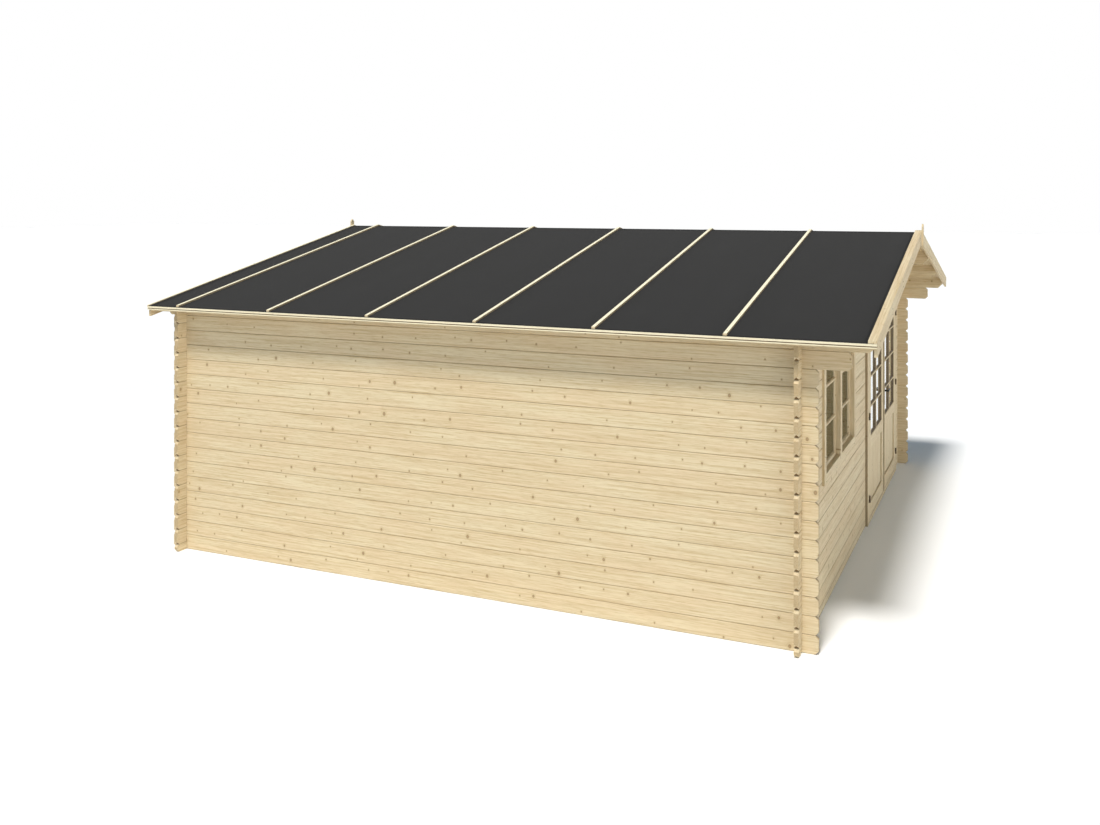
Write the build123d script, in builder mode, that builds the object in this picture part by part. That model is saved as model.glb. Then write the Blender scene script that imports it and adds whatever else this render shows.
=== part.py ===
"""Wooden garden house of notched logs, with a felted gable roof, a double window and a double door.

The front faces -Y and the ground is at Z = 0. The origin lies under the middle of the roof.
All lengths are in millimetres.
"""

import os
from math import cos, radians, sqrt, tan

from build123d import *

os.makedirs("parts", exist_ok=True)

# Plan of the log walls, over their outer faces
wall_width = 5440
wall_length = 5050

# Logs
course_height = 120
log_thickness = 30
log_gap = 0.4
log_edge_chamfer = 4
log_end_reach = 105
log_end_bevel = 22
notch_fit = 0.3
notch_share = 0.5
half_log_share = 0.5
top_log_least_share = 0.5
lower_bracket_reach = 310
bracket_bevel = 50

# Roof
roof_pitch_degrees = 11.43
front_overhang = 466
back_overhang = 180
eave_overhang = 200
deck_thickness = 18
felt_thickness = 3
seat_gap = 0.3
batten_width = 30
batten_thickness = 18
batten_setback = 447
batten_pitch = 898
batten_eave_gap = 6
barge_height = 90
barge_thickness = 20
barge_mitre_gap = 0.4
cap_width = 53
cap_thickness = 15
finial_width = 50
finial_thickness = 14
finial_rise = 68
finial_drop = 137
finial_point = 25
eave_strip_thickness = 20
eave_strip_height = 28
eave_strip_lip = 7
eave_groove_width = 7
eave_groove_depth = 8
eave_lath_height = 25
eave_lath_thickness = 30
eave_lath_setback = 4

# Purlins
purlin_width = 45
purlin_depth = 120
ridge_purlin_depth = 140
purlin_spacing = 900
purlin_bevel = 50

# Frames that grip the cut log ends round the openings
frame_proud = 20
frame_lap = 25

# Double door
door_from_right_corner = 354
leaf_width = 1000
leaf_height = 1880
leaf_thickness = 40
stile_width = 110
top_rail = 114
lock_rail = 110
bottom_rail = 120
door_glass_height = 1053
panel_thickness = 16
door_gap = 6
meeting_gap = 8
jamb_face = 65
head_face = 50
stop_width = 15
threshold_height = 38
lintel_height = 46

# Glass, held in grooves
glass_thickness = 4
glass_groove = 10
glass_fit = 0.3

# Double window
window_from_left_corner = 765
window_width = 1410
window_height = 960
window_head_drop = 120
window_frame_face = 45
mullion_width = 44
sash_face = 26
sash_thickness = 32
sash_setback = 26
sash_fit = 0.5

# Hinges
hinge_count = 3
hinge_from_bottom = 176
hinge_from_top = 244
barrel_radius = 7
barrel_height = 30
barrel_gap = 0.5
pin_radius = 3.5
pin_fit = 0.3
hinge_plate_width = 30
hinge_plate_thickness = 2.5

# Lever handles
handle_above_leaf_middle = 26
handle_plate_width = 38
handle_plate_height = 190
handle_plate_thickness = 7
handle_plate_chamfer = 6
neck_radius = 9
lever_length = 115
lever_depth = 11
lever_chamfer = 3
lever_standoff = 42
lever_above_plate_centre = 45

cut_overrun = 20
upwards = (0, 0, 1)
to_front = (0, -1, 0)

# Places that follow from the sizes
half_width = wall_width / 2
front_reach = front_overhang + barge_thickness + finial_thickness
back_reach = back_overhang + barge_thickness + finial_thickness
front_face = front_reach - (front_reach + wall_length + back_reach) / 2
back_face = front_face + wall_length
front_middle = front_face + log_thickness / 2
back_middle = back_face - log_thickness / 2
side_middle = half_width - log_thickness / 2
deck_front = front_face - front_overhang
deck_back = back_face + back_overhang
eave_edge = half_width + eave_overhang

slope = tan(radians(roof_pitch_degrees))
plumb_per_thickness = 1 / cos(radians(roof_pitch_degrees))
deck_rise = deck_thickness * plumb_per_thickness
felt_rise = deck_rise + felt_thickness * plumb_per_thickness
batten_rise = felt_rise + batten_thickness * plumb_per_thickness
cap_rise = felt_rise + cap_thickness * plumb_per_thickness

leaf_bottom = threshold_height + door_gap
leaf_top = leaf_bottom + leaf_height
head_bottom = leaf_top + door_gap
door_top = head_bottom + head_face
door_cut_right = half_width - door_from_right_corner - frame_lap
right_hinge_edge = door_cut_right - jamb_face
left_hinge_edge = right_hinge_edge - 2 * (door_gap + leaf_width) - meeting_gap
door_cut_left = left_hinge_edge - jamb_face
door_middle = (door_cut_left + door_cut_right) / 2
window_middle = window_from_left_corner + window_width / 2 - half_width
window_top = door_top - window_head_drop
window_sill_height = window_top - window_height
window_mid_height = window_sill_height + window_height / 2

eave_height = door_top + lintel_height
full_courses = int((eave_height - top_log_least_share * course_height) // course_height)
purlin_count = int((half_width - log_thickness - purlin_width) // purlin_spacing)
batten_count = int((wall_length + back_overhang - batten_setback) // batten_pitch) + 1
frame_front = front_face - frame_proud
frame_depth = 2 * frame_proud + log_thickness
frame_back = frame_front + frame_depth
stop_front = frame_front + leaf_thickness + door_gap


def roof_height(x, rise=0):
    """Height of the deck's underside at x, raised by a plumb distance."""
    return eave_height + (half_width - abs(x)) * slope + rise


ridge_height = roof_height(0)
first_row = half_log_share * course_height
row_count = int((ridge_height - first_row) // course_height) + 1
row_bottoms = [first_row + row * course_height for row in range(row_count)]


def save(part, node):
    """Label a finished piece and write it under its node's name."""
    part.label = node
    export_step(part, f"parts/{node}.step")


def lay_logs(section, outward, start, end, courses):
    """Add logs, one for each pair of bottom and height, that meet in a V joint on their outer face."""
    with BuildSketch(section.offset(start)) as profile:
        for bottom, height in courses:
            with Locations((0, bottom + (height - log_gap) / 2)):
                Rectangle(log_thickness, height - log_gap)
        outer_corners = profile.vertices().filter_by(lambda corner: corner.X * outward > 0)
        chamfer(outer_corners, length=log_edge_chamfer)
    extrude(profile.sketch, amount=end - start)


def cut_notches(face, crossings, heights):
    """Cut the half laps where these logs cross those of another wall."""
    with BuildSketch(face) as notches:
        with Locations(*[(place, height) for place in crossings for height in heights]):
            Rectangle(log_thickness + 2 * notch_fit, notch_share * course_height + notch_fit)
    extrude(notches.sketch, amount=log_thickness, both=True, mode=Mode.SUBTRACT)


def bevel_ends(face, ends, heights, bevel, thickness):
    """Bevel the corners of log ends that meet at the given heights."""
    with BuildSketch(face) as corners:
        with Locations(*[(end, height) for end in ends for height in heights]):
            Rectangle(bevel * sqrt(2), bevel * sqrt(2), rotation=45)
    extrude(corners.sketch, amount=thickness, both=True, mode=Mode.SUBTRACT)


def trim_to_roof():
    """Cut away all that reaches above the underside of the roof deck."""
    ridge = ridge_height - seat_gap
    eave = roof_height(eave_edge) - seat_gap
    top = ridge_height + course_height
    with BuildSketch(Plane.XZ) as above:
        with BuildLine():
            Polyline(
                (-eave_edge, eave),
                (0, ridge),
                (eave_edge, eave),
                (eave_edge, top),
                (-eave_edge, top),
                close=True,
            )
        make_face()
    extrude(above.sketch, amount=wall_length, both=True, mode=Mode.SUBTRACT)


def cut_openings(face, openings):
    """Cut rectangles through a wall, each given by its middle, width, bottom and top."""
    with BuildSketch(face) as holes:
        for middle, width, bottom, top in openings:
            with Locations((middle, (bottom + top) / 2)):
                Rectangle(width, top - bottom)
    extrude(holes.sketch, amount=log_thickness, both=True, mode=Mode.SUBTRACT)


def purlin_places():
    """Each purlin's distance from the ridge line and the height of its lower face."""
    places = [(0, ridge_height - ridge_purlin_depth)]
    for number in range(purlin_count):
        place = (number + 1) * purlin_spacing
        bottom = roof_height(place) - purlin_depth
        places += [(-place, bottom), (place, bottom)]
    return places


# Side walls
side_joints = [number * course_height for number in range(full_courses + 2)]
wall_ends = (front_face - log_end_reach, back_face + log_end_reach)
top_log_ends = (deck_front + seat_gap, deck_back - seat_gap)
crossing_walls = (front_middle, back_middle)
top_log_bottom = full_courses * course_height
top_log_height = roof_height(half_width - log_thickness) - top_log_bottom

for side, middle, outward in (("left", -side_middle, 1), ("right", side_middle, -1)):
    section = Plane((middle, 0, 0), x_dir=Plane.back.x_dir, z_dir=Plane.back.z_dir)
    face = Plane.YZ.offset(middle)

    with BuildPart() as side_wall:
        lower_courses = [(joint, course_height) for joint in side_joints[: full_courses - 1]]
        lay_logs(section, outward, *wall_ends, lower_courses)
        cut_notches(face, crossing_walls, side_joints[:full_courses])
        bevel_ends(face, wall_ends, side_joints[:full_courses], log_end_bevel, log_thickness)
    save(side_wall.part, f"{side}_wall")

    bracket_ends = (front_face - lower_bracket_reach, back_face + log_end_reach)
    bracket_joints = (top_log_bottom - course_height, top_log_bottom)
    with BuildPart() as top_logs:
        lay_logs(section, outward, *bracket_ends, [(top_log_bottom - course_height, course_height)])
        bevel_ends(face, bracket_ends, bracket_joints, log_end_bevel, log_thickness)
        lay_logs(section, outward, *top_log_ends, [(top_log_bottom, top_log_height)])
        bevel_ends(face, top_log_ends, (top_log_bottom,), bracket_bevel, log_thickness)
        cut_notches(face, crossing_walls, side_joints[full_courses - 1 :])
        trim_to_roof()
    save(top_logs.part, f"{side}_wall_top")


# Front and back walls with their gables
gable_row = max(row for row, bottom in enumerate(row_bottoms) if bottom <= door_top + log_gap)
gable_start = row_bottoms[gable_row]
row_joints = row_bottoms[: gable_row + 1]
lower_rows = [(0, first_row)] + [(bottom, course_height) for bottom in row_bottoms[:gable_row]]
gable_rows = [(bottom, course_height) for bottom in row_bottoms[gable_row:]]
crossing_sides = (-side_middle, side_middle)
row_ends = (-half_width - log_end_reach, half_width + log_end_reach)


def end_wall_section(middle):
    """Plane across the logs of an end wall."""
    return Plane((0, middle, 0), x_dir=Plane.YZ.x_dir, z_dir=Plane.YZ.z_dir)


def lay_end_wall(middle, outward):
    """Lay the rows of an end wall up to its gable, notched and bevelled at the corners."""
    face = Plane.XZ.offset(-middle)
    lay_logs(end_wall_section(middle), outward, *row_ends, lower_rows)
    cut_notches(face, crossing_sides, row_joints)
    bevel_ends(face, row_ends, [0, *row_joints], log_end_bevel, log_thickness)


def lay_gable(middle, outward):
    """Lay the gable's rows, cut to the roof and pocketed for the purlins."""
    face = Plane.XZ.offset(-middle)
    lay_logs(end_wall_section(middle), outward, -half_width, half_width, gable_rows)
    cut_notches(face, crossing_sides, [gable_start])
    trim_to_roof()
    pockets = [
        (place, purlin_width + 2 * seat_gap, bottom - seat_gap, ridge_height + course_height)
        for place, bottom in purlin_places()
    ]
    cut_openings(face, pockets)


def save_logs(logs, node):
    """Gather the logs of one stretch of wall in a node."""
    with BuildPart() as stretch:
        add(logs)
    save(stretch.part, node)


with BuildPart() as back_wall:
    lay_end_wall(back_middle, 1)
save(back_wall.part, "back_wall")

with BuildPart() as back_gable:
    lay_gable(back_middle, 1)
save(back_gable.part, "back_gable")

door_opening = (door_middle, door_cut_right - door_cut_left, -cut_overrun, door_top)
window_opening = (window_middle, window_width, window_sill_height, window_top)

with BuildPart() as front_gable:
    lay_gable(front_middle, -1)
    cut_openings(Plane.XZ.offset(-front_middle), [door_opening])
save(front_gable.part, "front_gable")

with BuildPart() as front_logs:
    lay_end_wall(front_middle, -1)
    cut_openings(Plane.XZ.offset(-front_middle), [door_opening, window_opening])


def stretch_of_front(log):
    """Name the stretch of the front wall that a log belongs to."""
    box = log.bounding_box()
    if box.min.X > door_middle:
        return "front_wall_right"
    if box.max.X < window_middle:
        return "front_wall_corner"
    if box.min.X > window_middle:
        return "front_wall_pier"
    return "front_wall_sill" if log.center().Z < window_mid_height else "front_wall_lintel"


for stretch_logs in front_logs.solids().group_by(stretch_of_front):
    save_logs(stretch_logs, stretch_of_front(stretch_logs[0]))


# Purlins
def purlin(place, bottom):
    """Add one purlin under the deck, its lower corners bevelled at both ends."""
    ends = (deck_front + seat_gap, deck_back - seat_gap)
    with BuildSketch(Plane.XZ.offset(-ends[1])) as section:
        with Locations((place, (bottom + ridge_height) / 2)):
            Rectangle(purlin_width, ridge_height - bottom)
    extrude(section.sketch, amount=ends[1] - ends[0])
    bevel_ends(Plane.YZ.offset(place), ends, (bottom,), purlin_bevel, purlin_width)


purlin_nodes = {
    "ridge_purlin": [(place, bottom) for place, bottom in purlin_places() if place == 0],
    "left_purlins": [(place, bottom) for place, bottom in purlin_places() if place < 0],
    "right_purlins": [(place, bottom) for place, bottom in purlin_places() if place > 0],
}
for node, places in purlin_nodes.items():
    with BuildPart() as purlins:
        for place, bottom in places:
            purlin(place, bottom)
        trim_to_roof()
    save(purlins.part, node)


# Roof slopes
def sloped_board(outer, inner, lower_rise, upper_rise, start, end):
    """Add a board along one slope, plumb at both ends, between two heights above the deck's underside."""
    with BuildSketch(Plane.XZ.offset(-end)) as side_view:
        with BuildLine():
            Polyline(
                (outer, roof_height(outer, lower_rise)),
                (inner, roof_height(inner, lower_rise)),
                (inner, roof_height(inner, upper_rise)),
                (outer, roof_height(outer, upper_rise)),
                close=True,
            )
        make_face()
    extrude(side_view.sketch, amount=end - start, dir=to_front)


barge_faces = {
    "front": (deck_front - barge_thickness, deck_front),
    "back": (deck_back, deck_back + barge_thickness),
}
cap_faces = {
    "front": (deck_front - barge_thickness, deck_front - barge_thickness + cap_width),
    "back": (deck_back + barge_thickness - cap_width, deck_back + barge_thickness),
}
strip_bottom = deck_rise - eave_strip_height
strip_front = deck_front - barge_thickness
strip_back = deck_back + barge_thickness
batten_places = [front_face + batten_setback + number * batten_pitch for number in range(batten_count)]

for side, sign in (("left", -1), ("right", 1)):
    deck_edge = sign * (eave_edge - eave_strip_thickness)
    mitre = sign * barge_mitre_gap / 2

    with BuildPart() as deck:
        sloped_board(deck_edge, 0, 0, deck_rise, deck_front, deck_back)
    save(deck.part, f"{side}_roof_deck")

    with BuildPart() as felt:
        sloped_board(sign * eave_edge, 0, deck_rise, felt_rise, deck_front, deck_back)
    save(felt.part, f"{side}_roof_felt")

    with BuildPart() as battens:
        for place in batten_places:
            batten_end = sign * (eave_edge - batten_eave_gap)
            back_edge = place + batten_width / 2
            sloped_board(batten_end, 0, felt_rise, batten_rise, place - batten_width / 2, back_edge)
    save(battens.part, f"{side}_felt_battens")

    with BuildPart() as eave_trim:
        groove_bottom = strip_bottom + eave_strip_lip
        groove_top = groove_bottom + eave_groove_width
        groove_back = sign * (eave_edge - eave_groove_depth)
        for face, lower, upper in (
            (sign * eave_edge, strip_bottom, groove_bottom),
            (groove_back, groove_bottom, groove_top),
            (sign * eave_edge, groove_top, deck_rise),
        ):
            sloped_board(face, deck_edge, lower, upper, strip_front, strip_back)
    save(eave_trim.part, f"{side}_eave_strip")

    with BuildPart() as eave_lath:
        lath_outer = deck_edge - sign * eave_lath_setback
        lath_inner = lath_outer - sign * eave_lath_thickness
        sloped_board(lath_outer, lath_inner, -eave_lath_height, 0, deck_front, deck_back)
    save(eave_lath.part, f"{side}_eave_lath")

    for end in ("front", "back"):
        with BuildPart() as bargeboard:
            sloped_board(deck_edge, mitre, felt_rise - barge_height, felt_rise, *barge_faces[end])
        save(bargeboard.part, f"{end}_{side}_bargeboard")

for end in ("front", "back"):
    with BuildPart() as caps:
        for sign in (-1, 1):
            mitre = sign * barge_mitre_gap / 2
            sloped_board(sign * eave_edge, mitre, felt_rise, cap_rise, *cap_faces[end])
    save(caps.part, f"{end}_barge_caps")

finial_backs = {"front": deck_front - barge_thickness, "back": back_face + back_reach}
finial_top = roof_height(0, felt_rise) + finial_rise
finial_bottom = roof_height(0, felt_rise) - finial_drop
for end, back in finial_backs.items():
    with BuildPart() as finial:
        with BuildSketch(Plane.XZ.offset(-back)):
            with BuildLine():
                Polyline(
                    (0, finial_bottom),
                    (finial_width / 2, finial_bottom + finial_point),
                    (finial_width / 2, finial_top - finial_point),
                    (0, finial_top),
                    (-finial_width / 2, finial_top - finial_point),
                    (-finial_width / 2, finial_bottom + finial_point),
                    close=True,
                )
            make_face()
        extrude(amount=finial_thickness)
    save(finial.part, f"{end}_finial")


# Door frame
def frame_profile(cut, inward):
    """Section of a frame member that grips the log ends at a cut, seen from above."""
    lap = cut - inward * frame_lap
    slot = cut + inward * seat_gap
    edge = cut + inward * jamb_face
    stop = edge + inward * stop_width
    slot_front = front_face - seat_gap
    slot_back = front_face + log_thickness + seat_gap
    Polyline(
        (lap, frame_front),
        (edge, frame_front),
        (edge, stop_front),
        (stop, stop_front),
        (stop, frame_back),
        (lap, frame_back),
        (lap, slot_back),
        (slot, slot_back),
        (slot, slot_front),
        (lap, slot_front),
        close=True,
    )


for side, cut, inward in (("left", door_cut_left, 1), ("right", door_cut_right, -1)):
    with BuildPart() as jamb:
        with BuildSketch() as jamb_section:
            with BuildLine():
                frame_profile(cut, inward)
            make_face()
        extrude(jamb_section.sketch, amount=head_bottom, dir=upwards)
    save(jamb.part, f"door_{side}_jamb")

with BuildPart() as door_head:
    cut_width = door_cut_right - door_cut_left
    flange = frame_proud - seat_gap
    lowered = (Align.CENTER, Align.MIN, Align.MIN)
    with Locations((door_middle, frame_front, head_bottom)):
        Box(cut_width - 2 * seat_gap, frame_depth, head_face - seat_gap, align=lowered)
    for flange_front in (frame_front, frame_back - flange):
        with Locations((door_middle, flange_front, head_bottom)):
            Box(cut_width + 2 * frame_lap, flange, head_face + frame_lap, align=lowered)
    with Locations((door_middle, frame_back, head_bottom)):
        Box(
            right_hinge_edge - left_hinge_edge - 2 * stop_width,
            frame_back - stop_front,
            stop_width,
            align=(Align.CENTER, Align.MAX, Align.MAX),
        )
save(door_head.part, "door_head")

with BuildPart() as door_threshold:
    with Locations((door_middle, frame_front, 0)):
        Box(
            right_hinge_edge - left_hinge_edge,
            stop_front - frame_front,
            threshold_height,
            align=(Align.CENTER, Align.MIN, Align.MIN),
        )
save(door_threshold.part, "door_threshold")


# Door leaves
leaf_middle_y = frame_front + leaf_thickness / 2
door_glass_width = leaf_width - 2 * stile_width
panel_height = leaf_height - top_rail - door_glass_height - lock_rail - bottom_rail
panel_middle = leaf_bottom + bottom_rail + panel_height / 2
glass_middle = leaf_top - top_rail - door_glass_height / 2
panel_recess = (leaf_thickness - panel_thickness) / 2
hinge_pitch = (leaf_height - hinge_from_bottom - hinge_from_top) / (hinge_count - 1)
hinge_heights = [leaf_bottom + hinge_from_bottom + number * hinge_pitch for number in range(hinge_count)]
hinge_axis_y = frame_front - barrel_radius


def door_leaf(middle):
    """One leaf: stiles and rails round a glazed upper part and a recessed lower panel."""
    with Locations((middle, leaf_middle_y, leaf_bottom)):
        Box(leaf_width, leaf_thickness, leaf_height, align=(Align.CENTER, Align.CENTER, Align.MIN))
    with Locations((middle, leaf_middle_y, glass_middle)):
        Box(door_glass_width, leaf_thickness + cut_overrun, door_glass_height, mode=Mode.SUBTRACT)
        Box(
            door_glass_width + 2 * glass_groove,
            glass_thickness + 2 * glass_fit,
            door_glass_height + 2 * glass_groove,
            mode=Mode.SUBTRACT,
        )
    for recess_y, align_y in ((frame_front, Align.MIN), (frame_front + leaf_thickness, Align.MAX)):
        with Locations((middle, recess_y, panel_middle)):
            Box(
                door_glass_width,
                panel_recess,
                panel_height,
                align=(Align.CENTER, align_y, Align.CENTER),
                mode=Mode.SUBTRACT,
            )


def pane(middle, middle_y, height, width, tall):
    """A sheet of glass that reaches into the grooves round it."""
    reach = 2 * (glass_groove - glass_fit)
    with Locations((middle, middle_y, height)):
        Box(width + reach, glass_thickness, tall + reach)


def hinge_half(axis_x, outward, bottom, with_pin):
    """Half a hinge: its knuckle on the axis, with a pin or a bore, and its plate on the wood."""
    plate_middle = axis_x + outward * hinge_plate_width / 2
    with Locations((plate_middle, frame_front, bottom)):
        Box(
            hinge_plate_width,
            hinge_plate_thickness,
            barrel_height,
            align=(Align.CENTER, Align.MAX, Align.MIN),
        )
    upright = (Align.CENTER, Align.CENTER, Align.MIN)
    with Locations((axis_x, hinge_axis_y, bottom)):
        Cylinder(barrel_radius, barrel_height, align=upright)
        if with_pin:
            Cylinder(pin_radius, 2 * barrel_height, align=upright)
        else:
            Cylinder(pin_radius + pin_fit, barrel_height, align=upright, mode=Mode.SUBTRACT)


for side, edge, inward in (("left", left_hinge_edge, 1), ("right", right_hinge_edge, -1)):
    middle = edge + inward * (door_gap + leaf_width / 2)
    axis_x = edge + inward * door_gap / 2

    with BuildPart() as leaf:
        door_leaf(middle)
    save(leaf.part, f"{side}_door_leaf")

    with BuildPart() as door_glass:
        pane(middle, leaf_middle_y, glass_middle, door_glass_width, door_glass_height)
    save(door_glass.part, f"{side}_door_glass")

    with BuildPart() as frame_hinges:
        for height in hinge_heights:
            hinge_half(axis_x, -inward, height - barrel_height, True)
    save(frame_hinges.part, f"{side}_frame_hinges")

    with BuildPart() as leaf_hinges:
        for height in hinge_heights:
            hinge_half(axis_x, inward, height + barrel_gap, False)
    save(leaf_hinges.part, f"{side}_leaf_hinges")


def lever_handle(face_y, outward):
    """A plate on the meeting stile with a lever that points to the hinge side."""
    plate_align = Align.MAX if outward < 0 else Align.MIN
    with BuildPart() as handle:
        with Locations((handle_x, face_y, handle_height - lever_above_plate_centre)):
            Box(
                handle_plate_width,
                handle_plate_thickness,
                handle_plate_height,
                align=(Align.CENTER, plate_align, Align.CENTER),
            )
        chamfer(handle.edges().filter_by(Axis.Y), length=handle_plate_chamfer)
        with BuildSketch(Plane((handle_x, face_y, handle_height), z_dir=(0, outward, 0))) as neck:
            Circle(neck_radius)
        extrude(neck.sketch, amount=lever_standoff)
        with BuildSketch(Plane.YZ.offset(handle_x - neck_radius)) as lever_section:
            with Locations((face_y + outward * lever_standoff, handle_height)):
                Rectangle(lever_depth, 2 * neck_radius)
            chamfer(lever_section.vertices(), length=lever_chamfer)
        extrude(lever_section.sketch, amount=neck_radius + lever_length)
    return handle.part


handle_height = leaf_bottom + leaf_height / 2 + handle_above_leaf_middle
handle_x = right_hinge_edge - door_gap - leaf_width + stile_width / 2
outer_handle = lever_handle(frame_front, -1)
inner_handle = lever_handle(frame_front + leaf_thickness, 1)
with BuildPart() as door_handles:
    add(outer_handle)
    add(inner_handle)
save(door_handles.part, "door_handles")


# Window
def upright_ring(front, depth, outer_width, outer_height, inner_width, inner_height, middle, height):
    """Add a rectangular ring that stands in the plane of the front wall."""
    with BuildSketch(Plane.XZ.offset(-front - depth)) as ring:
        with Locations((middle, height)):
            Rectangle(outer_width, outer_height)
            Rectangle(inner_width, inner_height, mode=Mode.SUBTRACT)
    extrude(ring.sketch, amount=depth)


window_clear_width = window_width - 2 * window_frame_face
window_clear_height = window_height - 2 * window_frame_face
window_clear = (window_clear_width, window_clear_height, window_middle, window_mid_height)
with BuildPart() as window_frame:
    lapped_width = window_width + 2 * frame_lap
    lapped_height = window_height + 2 * frame_lap
    upright_ring(frame_front, flange, lapped_width, lapped_height, *window_clear)
    body_width = window_width - 2 * seat_gap
    body_height = window_height - 2 * seat_gap
    upright_ring(frame_front, frame_depth, body_width, body_height, *window_clear)
    upright_ring(frame_back - flange, flange, lapped_width, lapped_height, *window_clear)
    with Locations((window_middle, frame_front, window_mid_height)):
        Box(
            mullion_width,
            frame_depth,
            window_clear_height,
            align=(Align.CENTER, Align.MIN, Align.CENTER),
        )
save(window_frame.part, "window_frame")

light_width = (window_clear_width - mullion_width) / 2
sash_width = light_width - 2 * sash_fit
sash_height = window_clear_height - 2 * sash_fit
sash_glass_width = sash_width - 2 * sash_face
sash_glass_height = sash_height - 2 * sash_face
sash_front = frame_front + sash_setback
sash_middle_y = sash_front + sash_thickness / 2
for side, sign in (("left", -1), ("right", 1)):
    sash_middle = window_middle + sign * (mullion_width + light_width) / 2

    with BuildPart() as sash:
        inner = (sash_glass_width, sash_glass_height, sash_middle, window_mid_height)
        upright_ring(sash_front, sash_thickness, sash_width, sash_height, *inner)
        with Locations((sash_middle, sash_middle_y, window_mid_height)):
            Box(
                sash_glass_width + 2 * glass_groove,
                glass_thickness + 2 * glass_fit,
                sash_glass_height + 2 * glass_groove,
                mode=Mode.SUBTRACT,
            )
    save(sash.part, f"window_{side}_sash")

    with BuildPart() as window_pane:
        pane(sash_middle, sash_middle_y, window_mid_height, sash_glass_width, sash_glass_height)
    save(window_pane.part, f"window_{side}_glass")
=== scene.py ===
"""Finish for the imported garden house: timber, felt, glazing and ironwork, on a plain pale stage.

Lengths are in metres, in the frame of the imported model: the front faces -Y and the ground is at Z = 0.
"""

import math
import random

import bpy
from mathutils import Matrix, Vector


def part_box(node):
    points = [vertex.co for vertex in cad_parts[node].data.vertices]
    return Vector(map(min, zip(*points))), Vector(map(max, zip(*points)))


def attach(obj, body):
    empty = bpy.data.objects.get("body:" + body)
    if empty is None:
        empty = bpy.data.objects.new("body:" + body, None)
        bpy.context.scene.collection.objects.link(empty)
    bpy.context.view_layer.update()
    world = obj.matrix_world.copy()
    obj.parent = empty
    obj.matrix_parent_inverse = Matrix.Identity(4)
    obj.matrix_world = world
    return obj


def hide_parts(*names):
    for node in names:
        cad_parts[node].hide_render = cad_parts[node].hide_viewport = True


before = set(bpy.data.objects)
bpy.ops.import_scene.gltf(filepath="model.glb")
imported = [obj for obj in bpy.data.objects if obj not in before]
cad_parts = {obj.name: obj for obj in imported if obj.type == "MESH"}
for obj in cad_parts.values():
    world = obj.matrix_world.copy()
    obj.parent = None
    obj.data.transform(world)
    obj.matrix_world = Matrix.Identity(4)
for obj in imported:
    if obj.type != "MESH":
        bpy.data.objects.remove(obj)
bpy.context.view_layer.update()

bl_info = {
    "name": "Garden House Finish",
    "version": (1, 0, 0),
    "blender": (4, 5, 0),
    "location": "View3D > Sidebar > Garden House",
    "description": "Timber, felt, glazing and ironwork for a garden house of notched logs",
    "category": "Object",
}

WHITE = (1.0, 1.0, 1.0)
SENSOR_WIDTH = 36.0

# Attributes that carry the lie of the grain on timber built here, and the ranges of its random places
GRAIN = "grain_place"
BOARD = "board_number"
GRAIN_RUN, GRAIN_DEPTH = 40, 0.03

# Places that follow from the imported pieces
LEFT_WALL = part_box("left_wall")
FRONT_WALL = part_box("front_wall_sill")
BACK_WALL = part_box("back_wall")
RIGHT_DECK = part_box("right_roof_deck")
LOG_THICKNESS = FRONT_WALL[1].y - FRONT_WALL[0].y
WALL_MIDDLE = (FRONT_WALL[0].y + BACK_WALL[1].y) / 2
WALL_WIDTH = -2 * LEFT_WALL[0].x
WALL_HALF_LENGTH = (BACK_WALL[1].y - FRONT_WALL[0].y) / 2

# First seeds of the random draws, by group of timber
SEEDS = {
    "roof": 11, "battens": 21, "rake": 27, "leaves": 31, "beads": 41, "strip": 47, "casing": 51, "sashes": 61,
    "panes": 71,
}

# How squarely a face looks along an axis, from none to all of a mask
END_FACING = (0.8, 0.95)
SIDE_FACING = (0.5, 0.8)
BEVEL_FACING = (0.4, 0.6)
GROOVE_FACING = (-0.6, -0.3)
UP_FACING = (0.3, 0.8)
DOWN_FACING = (-0.3, -0.6)

# Steps in the boards' numbers, so that rows of boards get different random draws
FAR_WALL, SIDE_WALL, PURLINS, FAR_EAVE, FAR_SLOPE, FAR_POST = 41.0, 7.0, 3.0, 5.0, 71.0, 13.0

# Spacings that tell one board from the next
PURLIN_SPACING, SLOPE_SPACING = 0.45, 0.18
EAVE_BOARDS, POSTS = 50.0, 3.0
POST_MIDDLE = 0.16

# Painted shade in the joints of the logs, as shares of a course, and in the mouth of the groove at a bevelled
# end
JOINT_SHADE_EDGES = (0.468, 0.49)
MOUTH_SHADE_EDGES = (1.1, 0.9)

# Groove of the eave strips, where shade is painted, and their outer lip, where a highlight is painted, in
# metres past the roof deck
EAVE_GROOVE_START, EAVE_GROOVE_END = (0.002, 0.004), (0.0185, 0.0165)
EAVE_LIP = (0.016, 0.018)

# Shares of painted shade and of painted highlight
BEVEL_SHADE, EAVE_GROOVE_SHADE, BATTEN_SIDE_SHADE, JAMB_SIDE_SHADE, STRIP_SIDE_SHADE = 0.45, 0.95, 0.55, 0.55, 0.5
BEAD_SHADE, BEAD_SHADE_RANGE = 0.85, 0.1
TOP_HIGHLIGHT, LIP_HIGHLIGHT, UNDERSIDE_HIGHLIGHT = 0.9, 0.55, 0.65

# Noises of the grain: scale along it and across it, shift from board to board, detail and roughness
SWAY = (0.8, 4.0, 53.0, 2.0, 0.55)
STREAK = (1.5, 75.0, 29.0, 4.0, 0.6)
FIBRE = (14.0, 520.0, 17.0, 2.0, 0.55)
CLOUD = (2.2, 9.0, 67.0, 2.0, 0.55)
DASH = (11.0, 130.0, 43.0, 3.0, 0.6)

# Where each kind of grain starts and is full, and its share of the late wood's colour
LATE_EDGES, STREAK_EDGES, DASH_EDGES, FIBRE_EDGES = (0.1, 1.0), (0.36, 0.72), (0.44, 0.74), (0.55, 0.9)
LATE_SHARE, STREAK_SHARE, DASH_SHARE, FIBRE_SHARE = 0.2, 0.6, 0.5, 0.2
TONE_EDGES, TONE_RANGE = (0.38, 0.86), 0.25

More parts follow.
